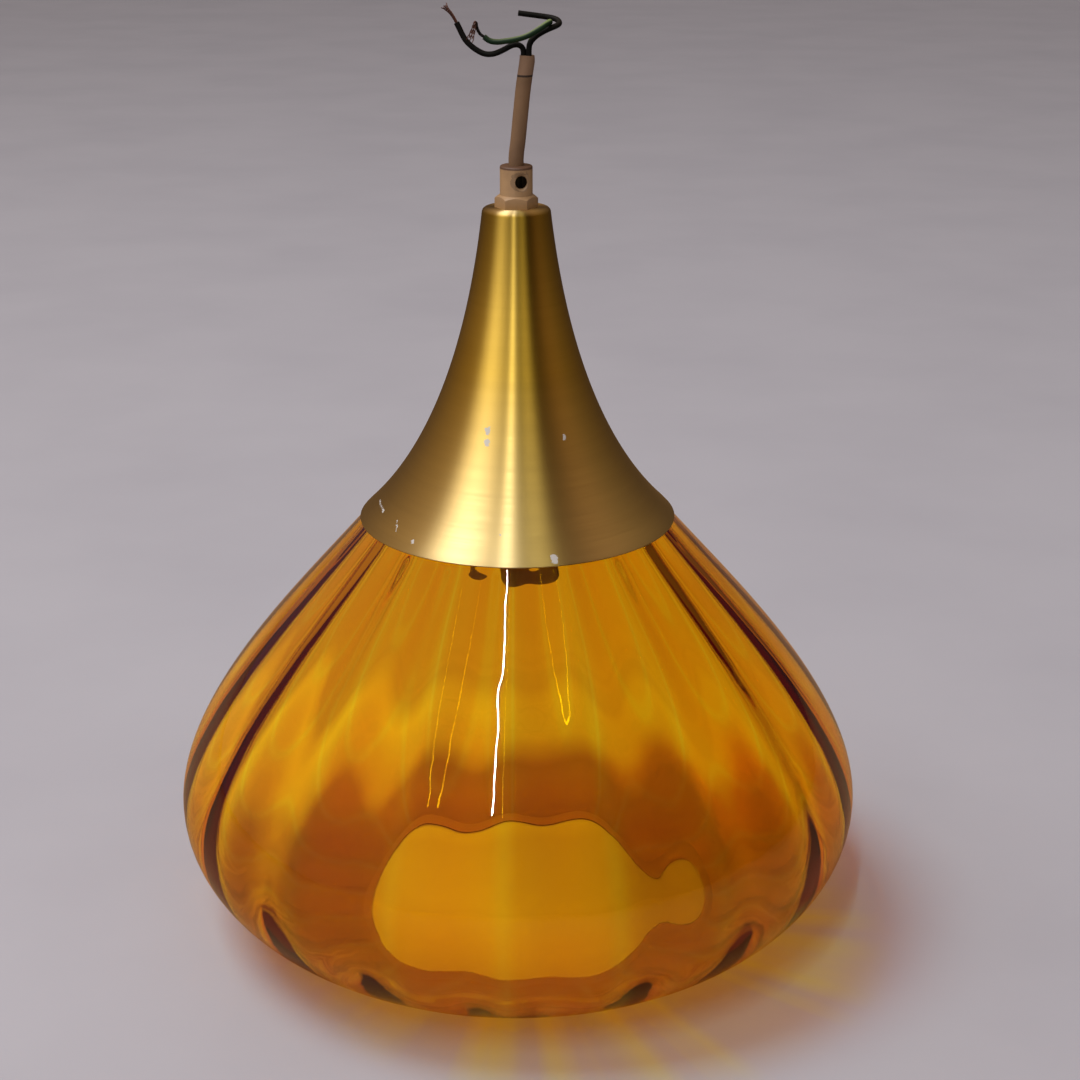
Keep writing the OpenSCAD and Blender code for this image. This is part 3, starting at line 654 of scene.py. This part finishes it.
duller = maths(uneven, "MULTIPLY_ADD", share, STAIN_DULLS, taken["Roughness"])
uneven.links.new(mixed(uneven, share, taken["Base"], taken["Stain"]), given["Color"])
uneven.links.new(duller, given["Roughness"])
uneven.links.new(noise(uneven, place, taken["Grain"], 3.0), given["Height"])
print("group", uneven.name)

# %% [markdown]
# The second is the fine rings that a lathe or a spinning tool leaves, which go round the axis. A noise
# that reads only the radius and the height, and hardly the angle, makes such rings. Two sizes are given.
# %% Group for rings round the axis
BROAD_RINGS = 0.15
rings, taken, given = add_group(
    "rings round the axis",
    [("Scale", FLOAT, 1500.0), ("Drift", FLOAT, 0.02)],
    [("Fine", FLOAT), ("Broad", FLOAT)],
)
x, y, z = axes(rings, coordinate(rings))
flat = node_of(rings, "ShaderNodeCombineXYZ", [(0, x), (1, y), (2, 0.0)]).outputs[0]
radius = vectors(rings, "LENGTH", flat)
drift = maths(rings, "MULTIPLY", x, taken["Drift"])
where = node_of(rings, "ShaderNodeCombineXYZ", [(0, radius), (1, drift), (2, z)]).outputs[0]
broad_scale = maths(rings, "MULTIPLY", taken["Scale"], BROAD_RINGS)
rings.links.new(noise(rings, where, taken["Scale"], 3.0), given["Fine"])
rings.links.new(noise(rings, where, broad_scale, 2.0), given["Broad"])
print("group", rings.name)

# %% [markdown]
# The third is one chip or scratch: all points nearer than its width to a short line. The place is shaken
# by a fine noise first, so that the edge is ragged.
# %% Group for a chip or a scratch
RAGGED = 0.003
RAGGED_SCALE = 700.0
mark, taken, given = add_group(
    "chip or scratch",
    [("Start", VECTOR, (0, 0, 0)), ("End", VECTOR, (0, 0, 0.001)), ("Width", FLOAT, 0.001)],
    [("Mask", FLOAT)],
)
place = coordinate(mark)
wobble = vectors(mark, "SUBTRACT", noise(mark, place, RAGGED_SCALE, 3.0, "Color"), (0.5, 0.5, 0.5))
ragged = vectors(mark, "MULTIPLY_ADD", wobble, (RAGGED, RAGGED, RAGGED), place)
reach = vectors(mark, "SUBTRACT", ragged, taken["Start"])
line = vectors(mark, "SUBTRACT", taken["End"], taken["Start"])
along = vectors(mark, "DOT_PRODUCT", reach, line)
share = maths(mark, "DIVIDE", along, vectors(mark, "DOT_PRODUCT", line, line), use_clamp=True)
gap = vectors(mark, "DISTANCE", reach, vectors(mark, "MULTIPLY", line, share))
mark.links.new(maths(mark, "LESS_THAN", gap, taken["Width"]), given["Mask"])
print("group", mark.name)


# %% [markdown]
# Most pieces need one of two finishes: a worn one with clouds of stain, for plastic, rubber and blackened
# steel, or a ringed one for turned and spun metal. A colour can be laid over either where a mask is 1.
# %% Helpers for finishes
def new_material(name, **sockets):
    """A material with its shader's own sockets set."""
    material = bpy.data.materials.new(name)
    material.use_nodes = True
    shader = material.node_tree.nodes["Principled BSDF"]
    for socket, value in sockets.items():
        shader.inputs[socket.replace("_", " ")].default_value = value
    return material, material.node_tree, shader


def finish(tree, shader, colour, roughness, height, bump, depth):
    """Links a colour, a roughness and a bump of some depth into a shader."""
    tree.links.new(colour, shader.inputs["Base Color"])
    tree.links.new(roughness, shader.inputs["Roughness"])
    tree.links.new(raised(tree, height, bump, depth), shader.inputs["Normal"])


def worn(name, base, stain, roughness, scale=80.0, amount=0.6, grain=900.0, bump=0.1, depth=0.02, **sockets):
    """A finish with uneven colour and roughness and a fine grain."""
    material, tree, shader = new_material(name, **sockets)
    group = node_of(tree, "ShaderNodeGroup", node_tree=uneven)
    for socket, value in (("Base", (*base, 1)), ("Stain", (*stain, 1)), ("Scale", scale), ("Amount", amount),
                          ("Roughness", roughness), ("Grain", grain)):
        group.inputs[socket].default_value = value
    colour, rough, height = group.outputs
    finish(tree, shader, colour, rough, height, bump, depth)
    return material


def ringed(name, base, stain, roughness, scale=1500.0, bump=0.3, depth=0.01, **sockets):
    """A turned or spun metal with rings round the axis."""
    material, tree, shader = new_material(name, Metallic=1.0, **sockets)
    along = node_of(tree, "ShaderNodeTangent", direction_type="RADIAL", axis="Z")
    tree.links.new(along.outputs[0], shader.inputs["Tangent"])
    marks = node_of(tree, "ShaderNodeGroup", node_tree=rings)
    marks.inputs["Scale"].default_value = scale
    fine = marks.outputs["Fine"]
    rough = ranged(tree, fine, 0.0, 1.0, roughness - 0.06, roughness + 0.1)
    finish(tree, shader, mixed(tree, marks.outputs["Broad"], base, stain), rough, fine, bump, depth)
    return material


def colour_of(material):
    """The shader of a material and the output that now feeds its colour."""
    shader = material.node_tree.nodes["Principled BSDF"]
    return shader, shader.inputs["Base Color"].links[0].from_socket


def overlay(material, colour, mask):
    """Lays a colour over a finish where a mask is 1."""
    shader, under = colour_of(material)
    over = mixed(material.node_tree, mask, under, colour)
    material.node_tree.links.new(over, shader.inputs["Base Color"])


def mark_on(tree, start, end, width):
    """The mask of one chip or scratch between two points."""
    chip = node_of(tree, "ShaderNodeGroup", node_tree=mark)
    chip.inputs["Start"].default_value = Vector(start) * MM
    chip.inputs["End"].default_value = Vector(end) * MM
    chip.inputs["Width"].default_value = width * MM
    return chip.outputs["Mask"]


# %% [markdown]
# ## Amber glass
# Amber glass is clear glass that swallows blue and some green. The longer the way of the light through
# it, the deeper the colour, so the colour sits in the volume. The glass is thinner at the grooves between
# the ribs, and a wave round the axis paints its skin paler there, in streaks: a painted sheen for the light
# that each rib reflects. Light that only passes through to the floor keeps going straight and gets a tint,
# and a veil dims it low down.
# Light that is caught inside the wall would end black after a few turns, so it is let out there with a
# brown tint, as the dark lines of the real glass have. Soft ripples in the skin come from the blowing.
# %% Glass
SWALLOWED = (0.998, 0.935, 0.02, 1)
SWALLOW_DENSITY = 800.0
RIB_SKIN = (1, 0.88, 0.66)
PALE_STREAK = 0.45
RIPPLE_SCALE = 28.0
RIPPLE_DEPTH = 0.7
TINT_FACING = (1.20, 1.08, 0.50)
TINT_EDGE = (0.66, 0.52, 0.22)
VEIL = (0.42, 0.33, 0.16)
VEIL_TOP = 0.075
MOST_TURNS = 3.5
BROWN = (0.62, 0.36, 0.30, 1)
WHITE = (1, 1, 1)
amber, tree, shader = new_material(
    "amber glass", Base_Color=(1, 1, 1, 1), Roughness=0.0, IOR=1.52, Transmission_Weight=1.0,
)
absorption = [("Color", SWALLOWED), ("Density", SWALLOW_DENSITY)]
swallow = node_of(tree, "ShaderNodeVolumeAbsorption", absorption)
spot = coordinate(tree)
x, y, z = axes(tree, spot)
turn_here = maths(tree, "ARCTAN2", y, x)
groove_turn = -math.radians(RIB_TURN) * RIBS / 2
wave = maths(tree, "SINE", maths(tree, "MULTIPLY_ADD", turn_here, RIBS / 2, groove_turn))
# painted sheen: the skin is paler at the grooves, in streaks for the light that each rib reflects
thin = ranged(tree, maths(tree, "ABSOLUTE", wave), PALE_STREAK, 0.0, kind="SMOOTHSTEP")
tree.links.new(mixed(tree, thin, RIB_SKIN, WHITE), shader.inputs["Base Color"])
ripples = raised(tree, noise(tree, spot, RIPPLE_SCALE, 2.0), 0.5, RIPPLE_DEPTH)
tree.links.new(ripples, shader.inputs["Normal"])

facing = node_of(tree, "ShaderNodeLayerWeight", [("Blend", 0.5)]).outputs["Facing"]
tint = mixed(tree, maths(tree, "POWER", facing, 2.0), TINT_FACING, TINT_EDGE)
veil = mixed(tree, ranged(tree, z, 0.0, VEIL_TOP), VEIL, WHITE)
to_floor = node_of(tree, "ShaderNodeBsdfTransparent", [("Color", mixed(tree, 1.0, tint, veil, "MULTIPLY"))])
way_out = node_of(tree, "ShaderNodeBsdfTransparent", [("Color", BROWN)])
rays = node_of(tree, "ShaderNodeLightPath").outputs
body = mixed_shader(tree, rays["Is Shadow Ray"], shader.outputs[0], to_floor.outputs[0])
caught = maths(tree, "GREATER_THAN", rays["Glossy Depth"], MOST_TURNS)
end = tree.nodes["Material Output"]
tree.links.new(mixed_shader(tree, caught, body, way_out.outputs[0]), end.inputs["Surface"])
tree.links.new(swallow.outputs[0], end.inputs["Volume"])
print("glass", amber.name)

# %% [markdown]
# ## Gold anodised aluminium
# The tool that spun the cone left fine rings, which stretch each highlight along the cone, so the shader
# is anisotropic round the axis. The colour is deeper high up, a painted shade that dims the highlights
# there, and paler at the rim and on the top, a painted highlight that whitens the highlights there. The
# chips and scratches are places where the gold is gone. Each is a line between two points and a width,
# and together they make one mask.
# %% Gold
CHIPS = [
    ((-11.6, -31.9, 229.1), (-11.2, -32.4, 228), 1.2), ((-11.6, -34.5, 224.1), (-11.9, -33.8, 225.2), 1.1),
    ((18.6, -29.8, 226.4), (18.9, -30.2, 225.6), 0.7), ((-56.7, -8.9, 192), (-54.2, -21.2, 191), 0.35),
    ((-48.1, -32.7, 191.1), (-48.3, -37.2, 188), 0.35), ((-41, -46, 187.4), (-41, -46.4, 187.1), 0.9),
    ((15.2, -61.8, 184.0), (15.0, -61.2, 185.6), 1.6), ((-6.3, -55.7, 193.4), (-6.3, -56, 193), 0.5),
    ((30, -50, 189), (31, -50.5, 188.2), 0.4), ((-30, -52, 187.5), (-29.6, -52.6, 187), 0.45),
]
# The deeper gold below is painted shade high up, and the paler gold is a painted highlight at the rim and on
# the top.
SHADED_GOLD = (0.52, 0.34, 0.06)
SHADED_UP = (0.27, 0.31)
HIGHLIGHT_GOLD = (0.84, 0.77, 0.56)
HIGHLIGHT_TO_RIM = (0.25, 0.185)
HIGHLIGHT_ON_TOP = (0.3105, 0.312)
BARE = (0.52, 0.48, 0.44)
LESS_METAL = -0.85
gold = ringed("gold anodised aluminium", (0.80, 0.54, 0.10), (0.70, 0.46, 0.08), 0.44, scale=1400.0,
              Anisotropic=1.0, Anisotropic_Rotation=0.25)
tree = gold.node_tree
gone = mark_on(tree, *CHIPS[0])
for chip in CHIPS[1:]:
    gone = maths(tree, "MAXIMUM", gone, mark_on(tree, *chip))
height = axes(tree, coordinate(tree))[2]
rim_highlight = ranged(tree, height, *HIGHLIGHT_TO_RIM, to_high=0.45)
top_highlight = ranged(tree, height, *HIGHLIGHT_ON_TOP, to_high=0.4)
# painted shade: the gold is darker high up, where the highlights are dimmer
overlay(gold, SHADED_GOLD, ranged(tree, height, *SHADED_UP))
# painted highlight: the gold is paler toward the rim and on the top
overlay(gold, HIGHLIGHT_GOLD, maths(tree, "MAXIMUM", rim_highlight, top_highlight))
overlay(gold, BARE, gone)
shader = tree.nodes["Principled BSDF"]
tree.links.new(maths(tree, "MULTIPLY_ADD", gone, LESS_METAL, 1.0), shader.inputs["Metallic"])
print("chips and scratches", len(CHIPS))

# %% [markdown]
# ## Plastics and copper
# The insulation of the earth core is green, with a pale yellow-green painted highlight on its upper side,
# which fades to the left. The copper of the same core is tarnished black up to its bend. The sheath was
# scored all round with a knife, near its end; the score is a thin dark ring of painted shade, and the
# sheath is paler above it. The grip is hollowed a little round its side hole, with painted shade round the
# hole that is darkest at its upper left, and it is darker along its top.
# %% Plastics and copper
# The pale yellow-green below is a painted highlight on the earth core's upper side.
UPPER_HIGHLIGHT = (0.16, 0.20, 0.075)
HIGHLIGHT_SIDE = (0.5, 0.85)
HIGHLIGHT_FADES = (-0.012, 0.006)
TARNISH = (0.008, 0.006, 0.005)
TARNISH_STARTS = (-0.0158, -0.0148)
# The dark ring below is painted shade in the knife score.
SCORE_SHADE = (0.03, 0.014, 0.007)
SCORE_LOW = (0.3629, 0.3631)
ABOVE_SCORE = (0.21, 0.115, 0.06)
SCORE_HIGH = (0.3637, 0.3639)
# the grip is darker along its top
DARK_TOP = (0.09, 0.04, 0.02)
GRIP_EDGE = (0.3272, 0.3276)
green = worn("green insulation", (0.004, 0.018, 0.006), (0.012, 0.035, 0.01), 0.5, Specular_IOR_Level=0.2)
tree = green.node_tree
# painted highlight on the side of the earth core that faces up
upper_side = ranged(tree, axes(tree, coordinate(tree, "Normal"))[2], *HIGHLIGHT_SIDE)
faded = ranged(tree, axes(tree, coordinate(tree))[0], *HIGHLIGHT_FADES, to_low=0.1)
overlay(green, UPPER_HIGHLIGHT, maths(tree, "MULTIPLY", upper_side, faded))

copper = worn("copper strands", (0.13, 0.045, 0.028), (0.03, 0.014, 0.01), 0.5, scale=500.0, Metallic=0.5)
tree = copper.node_tree
overlay(copper, TARNISH, ranged(tree, axes(tree, coordinate(tree))[0], *TARNISH_STARTS))

sheath_skin = worn("tan cord sheath", (0.20, 0.105, 0.045), (0.12, 0.06, 0.025), 0.6, bump=0.3)
tree = sheath_skin.node_tree
height = axes(tree, coordinate(tree))[2]
# painted shade: a thin dark ring where the knife scored the sheath
overlay(sheath_skin, SCORE_SHADE, ranged(tree, height, *SCORE_LOW))
overlay(sheath_skin, ABOVE_SCORE, ranged(tree, height, *SCORE_HIGH))

# painted shade round the grip's side hole, darkest at its upper left
HOLE_SHADE = [((1.7, -6.3, 322.8), 4.0, (0.21, 0.12, 0.055)), ((2.9, -6.0, 322.2), 3.3, (0.30, 0.18, 0.09))]
tan = worn("tan plastic", (0.34, 0.195, 0.085), (0.20, 0.11, 0.05), 0.5, bump=0.3)
tree = tan.node_tree
# each mark lays painted shade round the side hole
for (x, y, z), width, colour in HOLE_SHADE:
    overlay(tan, colour, mark_on(tree, (x, y, z), (x, y, z + 0.2), width))
# darker along the top of the grip
overlay(tan, DARK_TOP, ranged(tree, axes(tree, coordinate(tree))[2], *GRIP_EDGE))
print("plastics", green.name, copper.name, sheath_skin.name, tan.name)

# %% [markdown]
# ## All finishes
# Every other slot has a plain worn or ringed finish. Most of these pieces are inside the cone and the
# lampholder and show only through the glass or when the light is taken apart.
# %% Finishes by slot
dark = worn("dark insulation", (0.003, 0.003, 0.003), (0.008, 0.006, 0.005), 0.6, Specular_IOR_Level=0.15)
finishes = {
    "amber_glass": amber,
    "gold_anodised": gold,
    "grip_plastic": tan,
    "tan_sheath": sheath_skin,
    "dark_core": dark,
    "green_core": green,
    "copper": copper,
    "zinc_steel": ringed("zinc plated steel", (0.55, 0.55, 0.53), (0.45, 0.45, 0.44), 0.35),
    "blackened_steel": worn("blackened steel", (0.03, 0.025, 0.02), (0.01, 0.008, 0.006), 0.5, Metallic=1.0),
    "rubber": worn("black rubber", (0.02, 0.02, 0.02), (0.04, 0.04, 0.04), 0.7),
    "bakelite": worn("dark brown moulding", (0.55, 0.35, 0.20), (0.26, 0.15, 0.08), 0.35),
    "cream_moulding": worn("cream moulding", (0.62, 0.56, 0.43), (0.5, 0.42, 0.3), 0.5),
    "brass": ringed("turned brass", (0.60, 0.42, 0.16), (0.50, 0.33, 0.12), 0.3),
    "spring_steel": worn("spring wire", (0.5, 0.5, 0.52), (0.35, 0.35, 0.36), 0.3, Metallic=1.0),
}
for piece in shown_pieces():
    slot = piece.get("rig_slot") or slot_of_node[piece.name]
    piece.data.materials.clear()
    piece.data.materials.append(finishes[slot])
print("finishes", sorted(finishes))

# %% [markdown]
# ## The floor
# The light stands on a wide pale cloth, so wide that it fills the picture. What a floor looks like through
# coloured glass depends on light that is thrown and folded by the ribs, which would take very many rays to
# gather. So the cloth has a calmer and cheaper way: seen through the glass it is paler in a patch behind
# the foot, and a ring under the belly is darker. Each stop of the ring is a distance in metres, a level, and
# the share of green and blue. Mirrored in the glass or in the metal the cloth is dark, as the dim room in
# front of it would be. Close to the foot, on the open cloth, lie faint yellow streaks, where the real glass
# throws its light.
# %% Floor
MIRRORED_IN_GLASS = (0.26, 0.15, 0.07)
MIRRORED_IN_METAL = (0.035, 0.025, 0.02)
LIT_SQUEEZE = (0.5, 1, 1)
LIT_SPOT = (-0.03, 0.15, 0)
LIT_FADES = (0.10, 0.05)
LIT = (0.78, 0.66, 0.48)
UNLIT = (0.54, 0.385, 0.38)
RING_CENTRE = (0, 0.03, 0)
RING_REACH = 0.2
SHADE = [
    (0, 0.76, 1.12), (0.045, 0.76, 1.12), (0.075, 0.68, 1.0), (0.105, 0.52, 0.92), (0.14, 0.80, 0.96),
    (0.19, 1.0, 1.0),
]
STREAK_CENTRE = (0.03, -0.03, 0)
STREAKS_FADE = (0.135, 0.095)
STREAK_SCALE = 6.0
STREAK_NOISE = (0.40, 0.66)
STREAK_SHARE = (0.15, 0.75)
YELLOW = (0.54, 0.54, 0.13)
start_clean()
bpy.ops.mesh.primitive_circle_add(vertices=96, radius=9, fill_type="NGON", location=(0, 0, 0))
floor = bpy.context.object
floor.name = "floor"
cloth = worn("pale cloth floor", (0.41, 0.385, 0.41), (0.36, 0.335, 0.36), 0.9, scale=6.0, amount=0.5,
             bump=0.05)
tree = cloth.node_tree
shader, plain = colour_of(cloth)
rays = node_of(tree, "ShaderNodeLightPath").outputs
spot = coordinate(tree)

in_glass = maths(tree, "MULTIPLY", rays["Is Reflection Ray"], rays["Is Singular Ray"])
in_metal = maths(tree, "SUBTRACT", rays["Is Glossy Ray"], rays["Is Singular Ray"])
mirrored = mixed(tree, in_metal, mixed(tree, in_glass, plain, MIRRORED_IN_GLASS), MIRRORED_IN_METAL)

direction = vectors(tree, "NORMALIZE", spot)
streaks = ranged(tree, noise(tree, direction, STREAK_SCALE, 2.0), *STREAK_NOISE, *STREAK_SHARE)
near = ranged(tree, vectors(tree, "DISTANCE", spot, STREAK_CENTRE), *STREAKS_FADE, kind="SMOOTHSTEP")
open_cloth = mixed(tree, maths(tree, "MULTIPLY", near, streaks), mirrored, YELLOW)

squeezed = vectors(tree, "MULTIPLY", spot, LIT_SQUEEZE)
lit = ranged(tree, vectors(tree, "DISTANCE", squeezed, LIT_SPOT), *LIT_FADES)
lit_cloth = mixed(tree, lit, UNLIT, LIT)
from_centre = ranged(tree, vectors(tree, "DISTANCE", spot, RING_CENTRE), 0.0, RING_REACH)
shade = ramp(tree, from_centre, [(distance / RING_REACH, (level, level * green_part, level * green_part))
                                 for distance, level, green_part in SHADE])
through_glass = mixed(tree, 1.0, lit_cloth, shade, "MULTIPLY")
shown = mixed(tree, rays["Is Transmission Ray"], open_cloth, through_glass)
tree.links.new(shown, shader.inputs["Base Color"])
floor.data.materials.append(cloth)
print("floor", floor.name)

# %% [markdown]
# ## The room
# The room's light is soft and comes from the left, and the cloth behind the light takes its level. The
# brushed cone mirrors the room in vertical bands: a bright window a little to the right of the camera, a
# dark wall beside it, and dimmer walls round the rest, all brighter toward the ceiling. Each stop below is
# a bearing in degrees from the camera's side, a level, and the share of green in it. The clear mirror image
# in the glass sees a much darker room, so that the glass keeps its own colour.
# %% Room
ROOM = [
    (-180, 0.15, 0.6), (-100, 0.30, 0.68), (-60, 0.36, 0.72), (-30, 0.20, 0.8), (0, 0.10, 0.9),
    (7, 0.12, 0.9), (13, 0.50, 0.9), (20, 0.77, 0.9), (27, 0.77, 0.9), (33, 0.02, 0.8), (54, 0.0, 0.7),
    (66, 0.16, 0.56), (84, 0.28, 0.62), (110, 0.22, 0.70), (180, 0.12, 0.6),
]
BLUE_OF_GREEN = 0.55
SOFT_LEFT = (1.12, 1.10, 1.16)
SOFT_RIGHT = (0.18, 0.15, 0.14)
LEVEL = 0.67
LESS_THROUGH_GLASS = -0.27
LESS_IN_MIRROR = -0.55
LEFT_SIDE = 0.55
CEILING = 3.1
world = bpy.data.worlds.new("studio")
world.use_nodes = True
bpy.context.scene.world = world
tree = world.node_tree
sky = tree.nodes["Background"]
rays = node_of(tree, "ShaderNodeLightPath").outputs
rough_ray = maths(tree, "SUBTRACT", rays["Is Glossy Ray"], rays["Is Singular Ray"])
mirror_ray = maths(tree, "MULTIPLY", rays["Is Reflection Ray"], rays["Is Singular Ray"])
x, y, z = axes(tree, coordinate(tree, "Generated"))

from_left = ranged(tree, x, -1.0, 1.0, 1.0, 0.0)
soft_colour = mixed(tree, from_left, SOFT_RIGHT, SOFT_LEFT)
bearing = maths(tree, "ARCTAN2", x, maths(tree, "MULTIPLY", y, -1.0))
bands = ramp(tree, ranged(tree, bearing, -math.pi, math.pi),
             [((degrees + 180) / 360, (level, level * green, level * green * BLUE_OF_GREEN))
              for degrees, level, green in ROOM])
tree.links.new(mixed(tree, rough_ray, soft_colour, bands), sky.inputs["Color"])

glass_level = maths(tree, "MULTIPLY_ADD", rays["Is Transmission Ray"], LESS_THROUGH_GLASS, LEVEL)
plain_level = maths(tree, "MULTIPLY_ADD", mirror_ray, LESS_IN_MIRROR, glass_level)
upward = ranged(tree, z, 0.0, 1.0, maths(tree, "MULTIPLY", from_left, LEFT_SIDE), CEILING)
level = node_of(tree, "ShaderNodeMix", [(0, rough_ray), (2, plain_level), (3, upward)], data_type="FLOAT")
tree.links.new(level.outputs[0], sky.inputs["Strength"])
print("room with", len(ROOM), "stops")


# %% [markdown]
# ## The lamps
# A large soft lamp high at the left gives the shading and the shadow to the right. A long thin lamp in
# front is mirrored in the glass as a thin white line. The soft lamp doesn't light the glass itself: its
# wide mirror image would cover the belly, and the room already lights the glass.
# %% Lamps
def lamp(name, place, target, width, length, power):
    """A flat lamp that faces a target."""
    data = bpy.data.lights.new(name, "AREA")
    data.shape = "RECTANGLE"
    data.size = width
    data.size_y = length
    data.energy = power
    made = bpy.data.objects.new(name, data)
    bpy.context.collection.objects.link(made)
    made.location = place
    made.rotation_euler = (Vector(target) - Vector(place)).to_track_quat("-Z", "Y").to_euler()
    return made


MIDDLE = (0, 0, 0.15)
soft = lamp("soft lamp", (-1.44, -0.24, 3.28), MIDDLE, width=1.5, length=1.5, power=74)
lamp("thin lamp", (-0.27, -1.55, 1.98), MIDDLE, width=0.02, length=1.1, power=13.5)
not_mirrored = bpy.data.collections.new("glass without the soft lamp")
not_mirrored.objects.link(glass)
not_mirrored.collection_objects[0].light_linking.link_state = "EXCLUDE"
soft.light_linking.receiver_collection = not_mirrored
bpy.context.scene.view_settings.view_transform = "Standard"

# %% [markdown]
# ## The end
# %% Last update
bpy.context.view_layer.update()
